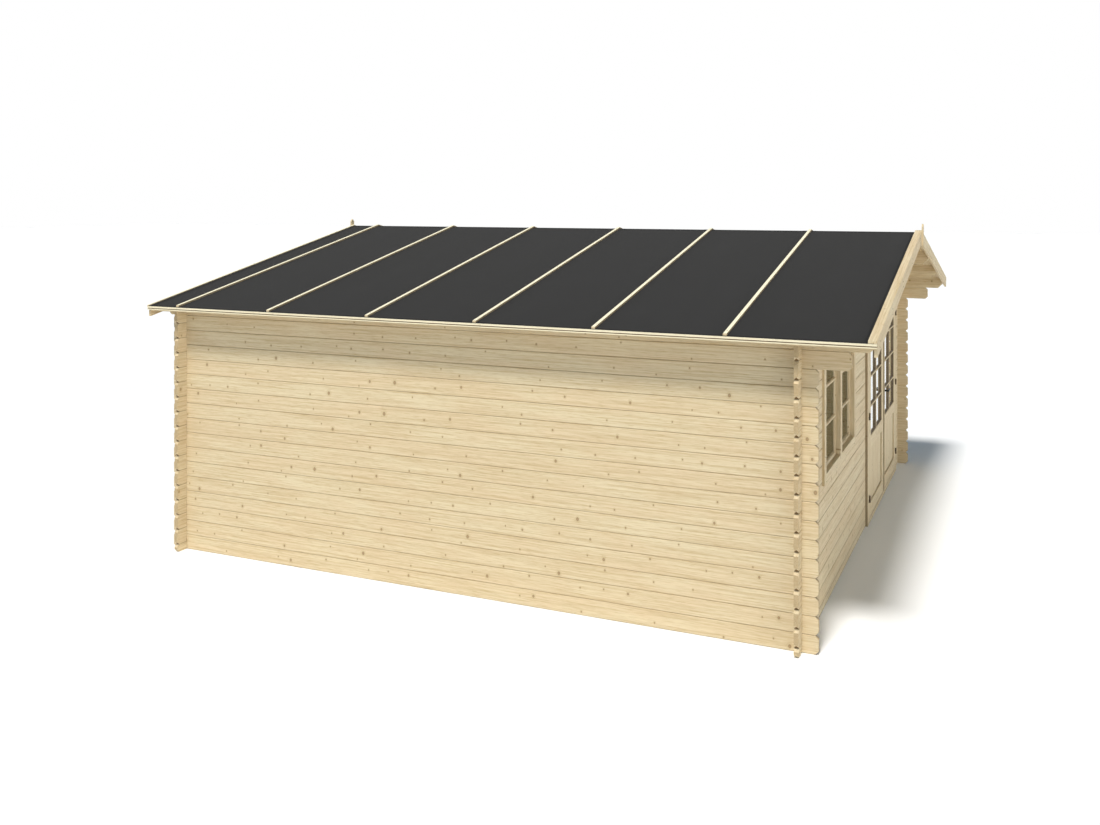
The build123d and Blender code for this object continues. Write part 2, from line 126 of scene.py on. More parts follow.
# Growth rings, in metres: the pith's place beside and behind a board, and how far rings sway and swell
PITH_ASIDE, PITH_DEPTH, PITH_RANGE, RING_SWAY, RING_SWELL = 0.06, 0.035, 0.05, 0.03, 0.011

# Knots: edges in knot radii, shares of colour, and the draw above which a stretch is clear
SWELL_EDGES, HALO_EDGES, HEART_EDGES, KNOT_EDGES = (3.2, 0.2), (3.2, 0.9), (0.9, 0.3), (1.3, 0.7)
HALO_SHARE, KNOT_SHARE = 0.45, 0.7
KNOT_SHIFT, KNOT_RANDOMNESS, KNOT_HEIGHT, CLEAR_STRETCH, FAR_AWAY = 91.0, 0.95, 0.8, 0.72, 20.0

# Felt, metal and glass: scales of their noises along X, Y and Z
GRANULES, FLECKS, SCUFFS, ROLL = (420.0,) * 3, (900.0,) * 3, (3.0,) * 3, (0.5, 5.0, 0.5)
MOTTLE, BRUSHED = (60.0,) * 3, (900.0, 900.0, 90.0)
FILM = (3.0, 3.0, 1.4)

# Felt and metal: how much darker or paler their grains are, where each kind starts and is full, and its share
FELT_DARK, FELT_PALE, RUBBED_PALE = 0.3, 2.4, 2.2
GRANULE_EDGES, FLECK_EDGES, SCUFF_EDGES, RUBBED_EDGES = (0.62, 0.3), (0.66, 0.8), (0.5, 0.85), (0.45, 0.8)
GRANULE_SHARE, FLECK_SHARE, ROLL_SHARE, SCUFF_SHARE, EDGE_SHADE = 0.5, 0.5, 0.16, 0.08, 0.9

# Painted shade along the felt's edges: where it starts and is full, in metres from the rake, the ridge and
# the eave
RAKE_EDGE, RIDGE_EDGE, EAVE_EDGE = (0.062, 0.056), (0.06, 0.05), (0.01, 0.004)

# Beads: shares of the depth that they fill, of that depth at the lip and of their width at the top
GLAZING_BEAD = (0.82, 0.3, 0.35)
PANEL_BEAD = (0.8, 0.3125, 0.3)

# Fixings: pitch and margin at the ends, and the rows of screws down a bargeboard
BATTEN_NAILS, BARGE_SCREWS = (0.36, 0.06), (0.6, 0.12)
LEVEL_CASING_SCREWS, UPRIGHT_CASING_SCREWS = (0.42, 0.08), (0.4, 0.2)
BARGE_ROWS = (0.3, 0.72)


def srgb(red, green, blue):
    """A colour given in screen values from 0 to 255, as Blender's linear values."""
    shares = [value / 255 for value in (red, green, blue)]
    return tuple(s / 12.92 if s <= 0.04045 else ((s + 0.055) / 1.055) ** 2.4 for s in shares)


# Shader maths


class Field:
    """A node's output, so that shader maths can be written as Python expressions."""

    def __init__(self, shader, socket):
        self.shader = shader
        self.socket = socket

    def output(self, name):
        """Another output of the same node."""
        return Field(self.shader, self.socket.node.outputs[name])

    def _with(self, operation, first, second=0.0):
        fields = [term for term in (first, second) if isinstance(term, Field)]
        vectors = any(field.socket.type in {"VECTOR", "RGBA"} for field in fields)
        kind = "ShaderNodeVectorMath" if vectors else "ShaderNodeMath"
        return self.shader.node(kind, {"operation": operation}, {0: first, 1: second})

    def __add__(self, other):
        return self._with("ADD", self, other)

    def __radd__(self, other):
        return self._with("ADD", other, self)

    def __sub__(self, other):
        return self._with("SUBTRACT", self, other)

    def __rsub__(self, other):
        return self._with("SUBTRACT", other, self)

    def __mul__(self, other):
        return self._with("MULTIPLY", self, other)

    def __rmul__(self, other):
        return self._with("MULTIPLY", other, self)

    def __truediv__(self, other):
        return self._with("DIVIDE", self, other)

    def __pow__(self, other):
        return self._with("POWER", self, other)

    def __gt__(self, other):
        return self._with("GREATER_THAN", self, other)

    def __abs__(self):
        return self._with("ABSOLUTE", self)

    def __floor__(self):
        return self._with("FLOOR", self)


class Shader:
    """A node tree that is filled by expressions."""

    def __init__(self, tree):
        self.tree = tree
        tree.nodes.clear()

    def node(self, kind, settings=None, sockets=None):
        """Add a node: its settings are set first, then its sockets get their values or links."""
        made = self.tree.nodes.new(kind)
        for name, value in (settings or {}).items():
            setattr(made, name, value)
        for key, value in (sockets or {}).items():
            socket = made.inputs[key]
            if isinstance(value, Field):
                self.tree.links.new(value.socket, socket)
            elif socket.type == "VECTOR" and isinstance(value, (int, float)):
                socket.default_value = (value, value, value)
            elif socket.type == "RGBA":
                socket.default_value = (*value[:3], 1.0)
            else:
                socket.default_value = value
        return Field(self, made.outputs[0]) if made.outputs else None

    def split(self, vector):
        """The three parts of a vector."""
        x = self.node("ShaderNodeSeparateXYZ", None, {0: vector})
        return x, x.output("Y"), x.output("Z")

    def join(self, x, y, z):
        return self.node("ShaderNodeCombineXYZ", None, {0: x, 1: y, 2: z})

    def mix(self, factor, first, second):
        """A colour between two others."""
        blend = self.node("ShaderNodeMix", {"data_type": "RGBA"}, {0: factor, 6: first, 7: second})
        return blend.output(2)

    def step(self, value, low, high):
        """A smooth change from 0 at low to 1 at high, which may be the smaller of the two."""
        return self.node(
            "ShaderNodeMapRange",
            {"interpolation_type": "SMOOTHSTEP"},
            {"Value": value, "From Min": low, "From Max": high},
        )

    def sine(self, value):
        return self.node("ShaderNodeMath", {"operation": "SINE"}, {0: value})

    def noise(self, place, detail=3.0, roughness=0.55):
        sockets = {"Vector": place, "Scale": 1.0, "Detail": detail, "Roughness": roughness}
        return self.node("ShaderNodeTexNoise", None, sockets)

    def speckle(self, scales, detail=3.0, roughness=0.55):
        """Noise over the object's own frame, with a scale for each axis."""
        parts = [part * scale for part, scale in zip(self.place(), scales)]
        return self.noise(self.join(*parts), detail, roughness)

    def highest(self, first, second):
        return self.node("ShaderNodeMath", {"operation": "MAXIMUM"}, {0: first, 1: second})

    def chance(self, number):
        """A fixed random number from 0 to 1 for each value of a number."""
        return self.node("ShaderNodeTexWhiteNoise", {"noise_dimensions": "1D"}, {"W": number})

    def place(self):
        """The point in its object's own frame, as three numbers."""
        return self.split(self.node("ShaderNodeTexCoord").output("Object"))

    def facing(self):
        """The surface's direction in its object's own frame, as three numbers."""
        return self.split(self.node("ShaderNodeTexCoord").output("Normal"))

    def bump(self, height, depth, strength):
        sockets = {"Strength": strength, "Distance": depth, "Height": height}
        return self.node("ShaderNodeBump", None, sockets)

    def surface(self, shading):
        self.node("ShaderNodeOutputMaterial", None, {"Surface": shading})


def new_material(name):
    """An empty material and its shader."""
    material = bpy.data.materials.new(name)
    material.use_nodes = True
    return material, Shader(material.node_tree)


# Sizes and colours that a user would change


class HouseFinish(bpy.types.PropertyGroup):
    """Colours and grain of the house's materials"""

    pale_spruce: bpy.props.FloatVectorProperty(
        name="Pale spruce", description="Early wood of the palest logs",
        subtype="COLOR", default=srgb(219, 205, 172), min=0, max=1,
    )
    # Painted highlight: the paler colour that stands for light on batten tops, eave lips and purlin
    # undersides
    highlight_spruce: bpy.props.FloatVectorProperty(
        name="Fresh spruce", description="Colour of paler, fresh-cut faces",
        subtype="COLOR", default=srgb(246, 240, 212), min=0, max=1,
    )
    warm_spruce: bpy.props.FloatVectorProperty(
        name="Warm spruce", description="Early wood of the warmest logs",
        subtype="COLOR", default=srgb(216, 197, 163), min=0, max=1,
    )
    late_wood: bpy.props.FloatVectorProperty(
        name="Late wood", description="Darker bands of the growth rings",
        subtype="COLOR", default=srgb(190, 168, 128), min=0, max=1,
    )
    knot_rim: bpy.props.FloatVectorProperty(
        name="Knot rim", description="Dark bark ring of a knot",
        subtype="COLOR", default=srgb(118, 92, 60), min=0, max=1,
    )
    knot_heart: bpy.props.FloatVectorProperty(
        name="Knot heart", description="Middle of a knot",
        subtype="COLOR", default=srgb(150, 118, 80), min=0, max=1,
    )
    end_grain: bpy.props.FloatVectorProperty(
        name="End grain", description="Sawn ends of the logs",
        subtype="COLOR", default=srgb(162, 138, 100), min=0, max=1,
    )
    # Painted shade in the V joints and groove mouths of the logs, on the side logs' upper bevels, in the eave
    # strips' groove and on the battens' sides
    joint_shade_colour: bpy.props.FloatVectorProperty(
        name="Joint", description="Depth of the V joint between two logs",
        subtype="COLOR", default=srgb(118, 92, 58), min=0, max=1,
    )
    # Painted shade on the door's beads, jamb sides and meeting strip
    door_shade_colour: bpy.props.FloatVectorProperty(
        name="Bead stain", description="Stain of the door's beads, jamb sides and meeting strip",
        subtype="COLOR", default=srgb(92, 78, 60), min=0, max=1,
    )
    felt_colour: bpy.props.FloatVectorProperty(
        name="Felt", description="Mineral-faced roofing felt",
        subtype="COLOR", default=srgb(34, 34, 34), min=0, max=1,
    )
    lever_colour: bpy.props.FloatVectorProperty(
        name="Lever", description="Black coating of the lever handles",
        subtype="COLOR", default=srgb(24, 23, 22), min=0, max=1,
    )
    hinge_colour: bpy.props.FloatVectorProperty(
        name="Hinge", description="Browned steel of the hinges and screws",
        subtype="COLOR", default=srgb(88, 72, 46), min=0, max=1,
    )
    # Painted shade in the V joints: its share on the side walls and on the end walls
    side_joint_shade: bpy.props.FloatProperty(
        name="Side joints",
        description="How far the joint's colour covers the V between two logs of a side wall",
        subtype="FACTOR", default=0.36, min=0, max=1,
    )
    end_joint_shade: bpy.props.FloatProperty(
        name="End joints",
        description="How far the joint's colour covers the V between two logs of an end wall",
        subtype="FACTOR", default=0.62, min=0, max=1,
    )
    # Height of the painted shade at the groove's mouth on a bevelled log end
    groove_shade_rise: bpy.props.FloatProperty(
        name="Groove rise", description="Height of the groove's mouth at a bevelled log end",
        unit="LENGTH", default=0.019, min=0.001,
    )
    glass_tint: bpy.props.FloatVectorProperty(
        name="Glass", description="Tint of the light through a pane",
        subtype="COLOR", default=(0.86, 0.89, 0.87), min=0, max=1,
    )
    door_glare: bpy.props.FloatProperty(
        name="Door glare", description="How strongly the door's panes mirror",
        default=1.75, min=0, max=3,
    )
    window_glare: bpy.props.FloatProperty(
        name="Window glare", description="How strongly the window's panes mirror",
        default=0.08, min=0, max=3,
    )
    course_height: bpy.props.FloatProperty(
        name="Course", description="Height of one log", unit="LENGTH", default=0.12, min=0.02,
    )
    ring_spacing: bpy.props.FloatProperty(
        name="Growth rings", description="Width of one growth ring", unit="LENGTH", default=0.0065, min=0.001,
    )
    knot_spacing: bpy.props.FloatProperty(
        name="Knot spacing", description="Usual distance between knots along a log",
        unit="LENGTH", default=0.26, min=0.05,
    )
    knot_radius: bpy.props.FloatProperty(
        name="Knot radius", description="Radius of the smallest knots",
        unit="LENGTH", default=0.0045, min=0.001,
    )
    knot_range: bpy.props.FloatProperty(
        name="Knot range", description="How much larger the largest knots are",
        unit="LENGTH", default=0.007, min=0.0,
    )
    knot_spread: bpy.props.FloatProperty(
        name="Knot spread", description="Width of the strip of a log that holds its knots",
        unit="LENGTH", default=0.09, min=0.0,
    )


class HouseJoinery(bpy.types.PropertyGroup):
    """Sizes of the timber and fixings that are built here"""

    roof_pitch: bpy.props.FloatProperty(
        name="Roof pitch", description="Slope of the roof", unit="ROTATION", default=math.radians(11.43),
    )
    roof_board_width: bpy.props.FloatProperty(
        name="Roof board", description="Usual cover of one roof board",
        unit="LENGTH", default=0.095, min=0.03,
    )
    roof_board_groove: bpy.props.FloatProperty(
        name="Roof board groove", description="Chamfer on the lower edges of a roof board",
        unit="LENGTH", default=0.004, min=0.0,
    )
    felt_sheet: bpy.props.FloatProperty(
        name="Felt sheet", description="Thickness of one layer of felt",
        unit="LENGTH", default=0.0021, min=0.001,
    )
    batten_width: bpy.props.FloatProperty(
        name="Batten width", description="Width of a felt batten", unit="LENGTH", default=0.025, min=0.005,
    )
    batten_thickness: bpy.props.FloatProperty(
        name="Batten thickness", description="Thickness of a felt batten",
        unit="LENGTH", default=0.014, min=0.004,
    )
    rake_strip: bpy.props.FloatProperty(
        name="Rake strip", description="Thickness of the strip on the bargeboards at the back",
        unit="LENGTH", default=0.007, min=0.002,
    )
    felt_lap: bpy.props.FloatProperty(
        name="Felt lap", description="Overlap that shows beside a batten",
        unit="LENGTH", default=0.05, min=0.0,
    )
    arris: bpy.props.FloatProperty(
        name="Arris", description="Chamfer on the edges of joinery", unit="LENGTH", default=0.0018, min=0.0,
    )
    strip_width: bpy.props.FloatProperty(
        name="Meeting strip", description="Width of the strip beside the gap between the leaves",
        unit="LENGTH", default=0.018, min=0.005,
    )
    strip_thickness: bpy.props.FloatProperty(
        name="Strip thickness", description="Thickness of the meeting strip",
        unit="LENGTH", default=0.01, min=0.002,
    )
    lock_rail: bpy.props.FloatProperty(
        name="Lock rail", description="Height of the rail under the glass",
        unit="LENGTH", default=0.11, min=0.02,
    )
    bottom_rail: bpy.props.FloatProperty(
        name="Bottom rail", description="Height of a leaf's bottom rail",
        unit="LENGTH", default=0.12, min=0.02,
    )
    panel_thickness: bpy.props.FloatProperty(
        name="Panel", description="Thickness of a leaf's lower panel",
        unit="LENGTH", default=0.016, min=0.004,
    )
    panel_gap: bpy.props.FloatProperty(
        name="Panel gap", description="Shadow gap round a leaf's lower panel",
        unit="LENGTH", default=0.005, min=0.0,
    )
    panel_boards: bpy.props.IntProperty(
        name="Panel boards", description="Boards in a leaf's lower panel", default=8, min=1,
    )
    bar_width: bpy.props.FloatProperty(
        name="Glazing bar", description="Width of a glazing bar", unit="LENGTH", default=0.015, min=0.005,
    )
    bar_inset: bpy.props.FloatProperty(
        name="Bar inset", description="Depth of a glazing bar behind the face of its frame",
        unit="LENGTH", default=0.002, min=0.0,
    )
    bar_chamfer: bpy.props.FloatProperty(
        name="Bar chamfer", description="Moulded edge of a glazing bar",
        unit="LENGTH", default=0.003, min=0.0,
    )
    bead_width: bpy.props.FloatProperty(
        name="Bead", description="Width of a glazing or panel bead", unit="LENGTH", default=0.005, min=0.002,
    )
    glass_groove: bpy.props.FloatProperty(
        name="Glass groove", description="Depth that the glass goes into its frame",
        unit="LENGTH", default=0.0097, min=0.0,
    )
    window_lap: bpy.props.FloatProperty(
        name="Window lap", description="Lap of the window's casing over the logs",
        unit="LENGTH", default=0.025, min=0.0,
    )
    casing_thickness: bpy.props.FloatProperty(
        name="Casing", description="How far the window's casing stands out from the logs",
        unit="LENGTH", default=0.017, min=0.002,
    )
    sash_set_back: bpy.props.FloatProperty(
        name="Sash set-back", description="How far the sashes stand behind their packed solids",
        unit="LENGTH", default=0.012, min=0.0,
    )
    pane_set_back: bpy.props.FloatProperty(
        name="Pane set-back", description="How far the window's panes stand behind their packed solids",
        unit="LENGTH", default=0.016, min=0.0,
    )
    pane_arris: bpy.props.FloatProperty(
        name="Pane arris", description="Ground edge of a window pane",
        unit="LENGTH", default=0.0005, min=0.0001,
    )
    mullion_rebate: bpy.props.FloatProperty(
        name="Mullion rebate", description="How far the mullion laps over each sash",
        unit="LENGTH", default=0.016, min=0.0,
    )
    window_face: bpy.props.FloatProperty(
        name="Window frame", description="Face of the window's frame inside the cut",
        unit="LENGTH", default=0.045, min=0.01,
    )
    mullion: bpy.props.FloatProperty(
        name="Mullion", description="Width of the window's mullion", unit="LENGTH", default=0.044, min=0.01,
    )
    screw_radius: bpy.props.FloatProperty(
        name="Screw", description="Radius of a screw's head", unit="LENGTH", default=0.0042, min=0.001,
    )
    nail_radius: bpy.props.FloatProperty(
        name="Nail", description="Radius of a nail's head", unit="LENGTH", default=0.0032, min=0.001,
    )


class HouseStage(bpy.types.PropertyGroup):
    """Camera, light and floor"""

    camera_place: bpy.props.FloatVectorProperty(
        name="Camera", description="The camera's place", subtype="TRANSLATION",
        default=(LEFT_WALL[0].x - 6.889, FRONT_WALL[0].y - 1.322, 2.869),
    )
    camera_heading: bpy.props.FloatProperty(
        name="Heading", description="Turn of the camera about the vertical",
        unit="ROTATION", default=math.radians(-65.995),
    )
    camera_lens: bpy.props.FloatProperty(
        name="Lens", description="Focal length on a 36 mm sensor", subtype="DISTANCE_CAMERA", default=35.28,
    )
    camera_shift: bpy.props.FloatProperty(
        name="Shift", description="Vertical shift that keeps the walls upright", default=-0.1933,
    )
    sun_travel: bpy.props.FloatVectorProperty(
        name="Sun", description="Direction in which the main light travels",
        subtype="DIRECTION", default=(1.0, 0.0, -1.85),
    )
    sun_strength: bpy.props.FloatProperty(
        name="Sun strength", description="Strength of the main light", default=3.27, min=0.0,
    )
    sun_size: bpy.props.FloatProperty(
        name="Sun size", description="Apparent size of the main light, which softens shadows",
        unit="ROTATION", default=math.radians(11.5), min=0.0,
    )
    sun_colour: bpy.props.FloatVectorProperty(
        name="Sun colour", description="Colour of the main light", subtype="COLOR",
        default=(1.0, 0.965, 0.915), min=0, max=1,
    )
    fill_travel: bpy.props.FloatVectorProperty(
        name="Fill", description="Level direction in which the fill light travels",
        subtype="DIRECTION", default=(0.4, 0.917, 0.0),
    )
    fill_strength: bpy.props.FloatProperty(
        name="Fill strength", description="Strength of the fill light", default=1.56, min=0.0,
    )
    fill_size: bpy.props.FloatProperty(
        name="Fill size", description="Apparent size of the fill light", unit="ROTATION",
        default=math.radians(40), min=0.0,
    )
    fill_colour: bpy.props.FloatVectorProperty(
        name="Fill colour", description="Colour of the fill light", subtype="COLOR",
        default=(1.0, 0.96, 0.91), min=0, max=1,
    )
    sky_strength: bpy.props.FloatProperty(
        name="Sky", description="Strength of the even light from all sides", default=0.22, min=0.0,
    )
    sky_colour: bpy.props.FloatVectorProperty(
        name="Sky colour", description="Colour of the even light from all sides",
        subtype="COLOR", default=(0.62, 0.82, 1.0), min=0, max=1,
    )
    ground_watts: bpy.props.FloatProperty(
        name="Ground light", description="Power of the soft light that rises in front of the house",
        subtype="POWER", default=2.5, min=0.0,
    )
    ground_size: bpy.props.FloatProperty(
        name="Ground depth", description="Depth of the soft light in front of the house", unit="LENGTH",
        default=1.4, min=0.1,
    )
    inside_watts: bpy.props.FloatProperty(
        name="Inside light", description="Power of the soft light inside the house", subtype="POWER",
        default=30.0, min=0.0,
    )
    inside_size: bpy.props.FloatProperty(
        name="Inside size", description="Edge of the soft light inside the house", unit="LENGTH",
        default=3.5, min=0.1,
    )
    floor_colour: bpy.props.FloatVectorProperty(
        name="Floor", description="Colour of the floor",
        subtype="COLOR", default=(0.95, 0.965, 0.985), min=0, max=1,
    )
    floor_reach: bpy.props.FloatProperty(
        name="Floor reach", description="Distance from the middle to the floor's edge",
        unit="LENGTH", default=90.0, min=10.0,
    )
    floor_drop: bpy.props.FloatProperty(
        name="Floor drop", description="Gap that keeps the floor clear of the lowest logs",
        unit="LENGTH", default=0.001, min=0.0,
    )


# Lies of the grain. Each gives the place along the board, across its face and through its depth, the
# board's number, the share of end grain and the share of painted shade in joints, grooves and on sides.


def end_share(shader, part):
    """How far a surface faces along the grain, as a mask of end grain."""
    return shader.step(abs(shader.facing()[part]), *END_FACING)


def log_lie(along_y, first_joint):
    """Logs in courses, along Y in the side walls and along X in the end walls."""

    def lie(shader, finish):
        x, y, z = shader.place()
        height = finish.course_height
        row = math.floor((z - first_joint) / height)
        across = z - first_joint - (row + 0.5) * height
        if along_y:
            along, beside = y, x
            depth = abs(x) + (LEFT_WALL[0].x + LOG_THICKNESS / 2)
        else:
            along, beside = x, y
            depth = abs(y - WALL_MIDDLE) - (WALL_HALF_LENGTH - LOG_THICKNESS / 2)
        number = row + (beside > 0.0) * FAR_WALL + SIDE_WALL * along_y
        # Painted shade in the V joints between logs
        joint_shade_share = finish.side_joint_shade if along_y else finish.end_joint_shade
        joint_start, joint_full = (height * edge for edge in JOINT_SHADE_EDGES)
        joint = shader.step(abs(across), joint_start, joint_full) * joint_shade_share
        facing = shader.facing()
        ends = abs(facing[1 if along_y else 0])
        bevel = shader.step(ends, *BEVEL_FACING)
        # Painted shade in the groove's mouth on the lower bevels of a log end
        mouth = abs(depth) / (LOG_THICKNESS / 2) + (across + height / 2) / finish.groove_shade_rise
        under_bevel = bevel * shader.step(facing[2], *(-edge for edge in BEVEL_FACING))
        groove = under_bevel * shader.step(mouth, *MOUTH_SHADE_EDGES)
        # Painted shade on the upper bevels of the side logs' ends
        if along_y:
            groove = groove + bevel * shader.step(facing[2], *BEVEL_FACING) * BEVEL_SHADE
        end_grain = shader.step(ends, *END_FACING)
        return along, across, depth, shader.chance(number), end_grain, joint + groove * (1.0 - joint)

    return lie


def purlin_lie(shader, finish):
    """Purlins that run from gable to gable."""
    x, y, z = shader.place()
    number = math.floor(x / PURLIN_SPACING + 0.5)
    depth = x - number * PURLIN_SPACING
    return y, z - RIGHT_DECK[0].z, depth, shader.chance(number + PURLINS), end_share(shader, 1), 0.0


def eave_lie(shader, finish):
    """Strips that run along the eaves."""
    x, y, z = shader.place()
    number = (x > 0.0) * FAR_EAVE + math.floor(z * EAVE_BOARDS)
    depth = abs(x) - RIGHT_DECK[1].x
    end = end_share(shader, 1)
    # Painted shade in the groove along the strips' outer face
    groove = shader.step(depth, *EAVE_GROOVE_START) * shader.step(depth, *EAVE_GROOVE_END)
    groove = groove * shader.step(shader.facing()[2], *GROOVE_FACING) * (1.0 - end)
    return y, z - RIGHT_DECK[0].z, depth, shader.chance(number), end, groove * EAVE_GROOVE_SHADE


def slope_lie(pitch):
    """Boards and strips that run down the slopes."""

    def lie(shader, finish):
        x, y, z = shader.place()
        down = abs(x) * math.cos(pitch) - z * math.sin(pitch)
        out = abs(x) * math.sin(pitch) + z * math.cos(pitch) - RIGHT_DECK[1].z * math.cos(pitch)
        board = math.floor(y / SLOPE_SPACING)
        across = y - board * SLOPE_SPACING - SLOPE_SPACING / 2
        return down, across, out, shader.chance(board + (x > 0.0) * FAR_SLOPE), 0.0, 0.0

    return lie


def upright_lie(shader, finish):
    """Posts and finials."""
    x, y, z = shader.place()
    post = math.floor(x * POSTS)
    across = x - post / POSTS - POST_MIDDLE
    return z, across, y, shader.chance(post + (y > 0.0) * FAR_POST), end_share(shader, 2), 0.0


def level_lie(shader, finish):
    """Pieces that run across the front."""
    x, y, z = shader.place()
    row = math.floor(z)
    return x, z - row, y - FRONT_WALL[0].y, shader.chance(row), end_share(shader, 0), 0.0


def laid_lie(shader, finish):
    """Timber built here, whose grain is kept on its mesh."""
    grain = shader.node("ShaderNodeAttribute", {"attribute_name": GRAIN}).output("Vector")
    board = shader.node("ShaderNodeAttribute", {"attribute_name": BOARD}).output("Fac")
    return (*shader.split(grain), board, 0.0, 0.0)


def shaded_sides(lie, part, share):
    """A lie with painted shade on the sides that face along one axis."""

    def shaded(shader, finish):
        stain = shader.step(abs(shader.facing()[part]), *SIDE_FACING) * share
        return (*lie(shader, finish)[:5], stain)

    return shaded


def shaded_bead_lie(shader, finish):
    """Beads built here, with painted shade that makes them darker than the timber round them."""
    values = laid_lie(shader, finish)
    return (*values[:5], values[3] * BEAD_SHADE_RANGE + BEAD_SHADE)


# Materials


def knot_distance(shader, along, across, board, finish):
    """Distance from the nearest knot in knot radii, far from any where a stretch is clear."""
    run = along / finish.knot_spacing + board * KNOT_SHIFT
    sockets = {"W": run, "Scale": 1.0, "Randomness": KNOT_RANDOMNESS}
    stretch = shader.node("ShaderNodeTexVoronoi", {"voronoi_dimensions": "1D"}, sockets)
    size, height, clear = shader.split(stretch.output("Color"))
    beside = (run - stretch.output("W")) * finish.knot_spacing
    above = (across - (height - 0.5) * finish.knot_spread) * KNOT_HEIGHT
    radius = finish.knot_radius + size * size * size * finish.knot_range
    return (beside * beside + above * above) ** 0.5 / radius + (clear > CLEAR_STRETCH) * FAR_AWAY


def spruce(name, lie, finish, pale=None, stain=None):
    """Planed spruce: growth rings that swell round knots, fibres, and a change of tone from board to board.

    Where `pale` is given, it builds the mask of the faces where a highlight is painted. A colour of
    painted shade, where given, takes the place of the joints' painted shade colour.
    """
    known = bpy.data.materials.get(name)
    if known:
        return known
    material, shader = new_material(name)
    along, across, depth, board, end, joint = lie(shader, finish)

    def grain_noise(length, width, shift, detail, roughness):
        place = shader.join(along * length + board * shift, across * width, depth * width)
        return shader.noise(place, detail, roughness)

    sway, streak, fibre, cloud, dash = (grain_noise(*kind) for kind in (SWAY, STREAK, FIBRE, CLOUD, DASH))
    knot = knot_distance(shader, along, across, board, finish)
    swell = shader.step(knot, *SWELL_EDGES)
    off_centre = across + (board - 0.5) * PITH_ASIDE
    to_pith = depth + PITH_DEPTH + board * PITH_RANGE
    ring = (off_centre * off_centre + to_pith * to_pith) ** 0.5
    ring = ring + (sway - 0.5) * RING_SWAY + swell * RING_SWELL
    late = shader.step(shader.sine(ring * (2 * math.pi / finish.ring_spacing)), *LATE_EDGES)

    tone = shader.step(cloud + board * TONE_RANGE, *TONE_EDGES)
    colour = shader.mix(tone, finish.pale_spruce, finish.warm_spruce)
    streaks = shader.step(streak, *STREAK_EDGES) * STREAK_SHARE
    grain = late * LATE_SHARE + streaks + shader.step(dash, *DASH_EDGES) * DASH_SHARE
    colour = shader.mix(grain, colour, finish.late_wood)
    colour = shader.mix(shader.step(fibre, *FIBRE_EDGES) * FIBRE_SHARE, colour, finish.late_wood)
    colour = shader.mix(end * (0.5 + late * 0.4), colour, finish.end_grain)
    colour = shader.mix(shader.step(knot, *HALO_EDGES) * HALO_SHARE, colour, finish.late_wood)
    heart = shader.mix(shader.step(knot, *HEART_EDGES), finish.knot_rim, finish.knot_heart)
    knot_share = shader.step(knot, *KNOT_EDGES)
    colour = shader.mix(knot_share * KNOT_SHARE, colour, heart)
    # Painted shade in the joints, grooves and shaded sides that the lie gives
    colour = shader.mix(joint, colour, stain or finish.joint_shade_colour) if isinstance(joint, Field) else colour
    # Painted highlight on the faces that the pale mask picks
    colour = shader.mix(pale(shader), colour, finish.highlight_spruce) if pale else colour

    roughness = 0.58 + streak * 0.16 - knot_share * 0.12
    height = late * 0.35 + fibre * 0.5 + streak * 0.3 - knot_share * 0.3
    sockets = {
        "Base Color": colour, "Roughness": roughness, "Specular IOR Level": 0.3,
        "Normal": shader.bump(height, depth=0.0007, strength=0.5),
    }
    shader.surface(shader.node("ShaderNodeBsdfPrincipled", None, sockets))
    return material


def highlit_tops(shader):
    """Mask of the faces that look up, where a highlight is painted."""
    return shader.step(shader.facing()[2], *UP_FACING) * TOP_HIGHLIGHT


def highlit_lips(shader):
    """Mask of the eave strips' outer lips, where a highlight is painted."""
    reach = abs(shader.place()[0]) - RIGHT_DECK[1].x
    return shader.step(reach, *EAVE_LIP) * LIP_HIGHLIGHT


def highlit_undersides(shader):
    """Mask of the faces that look down, where a highlight is painted."""
    return shader.step(shader.facing()[2], *DOWN_FACING) * UNDERSIDE_HIGHLIGHT


def felt(finish):
    """Mineral-faced felt: dark granules with pale flecks, rolled unevenly, with painted shade along its
    edges.
    """
    material, shader = new_material("mineral_felt")
    x, y, _ = shader.place()
    granule = shader.speckle(GRANULES, 2.0, 0.7)
    fleck = shader.speckle(FLECKS, 1.0)
    roll = shader.speckle(ROLL)
    scuff = shader.speckle(SCUFFS, 4.0)
    dark = tuple(value * FELT_DARK for value in finish.felt_colour)
    pale = tuple(min(1.0, value * FELT_PALE) for value in finish.felt_colour)
    colour = shader.mix(shader.step(granule, *GRANULE_EDGES) * GRANULE_SHARE, finish.felt_colour, dark)
    colour = shader.mix(shader.step(fleck, *FLECK_EDGES) * FLECK_SHARE, colour, pale)
    scuffed = (roll - 0.4) * ROLL_SHARE + shader.step(scuff, *SCUFF_EDGES) * SCUFF_SHARE
    colour = shader.mix(scuffed, colour, pale)
    # Painted shade along the rake, the ridge and the eave
    rake = shader.step(abs(y), *(RIGHT_DECK[1].y - edge for edge in RAKE_EDGE))
    ridge = shader.step(abs(x), *RIDGE_EDGE)
    eave = shader.step(abs(x), *(RIGHT_DECK[1].x - edge for edge in EAVE_EDGE))
    edges = shader.highest(shader.highest(rake, ridge), eave)
    colour = shader.mix(edges * EDGE_SHADE, colour, dark)
    sockets = {
        "Base Color": colour, "Roughness": 0.86 + granule * 0.12, "Specular IOR Level": 0.25,
        "Normal": shader.bump(granule + fleck * 0.6 + roll * 0.5, depth=0.0012, strength=0.6),
    }
    shader.surface(shader.node("ShaderNodeBsdfPrincipled", None, sockets))
    return material


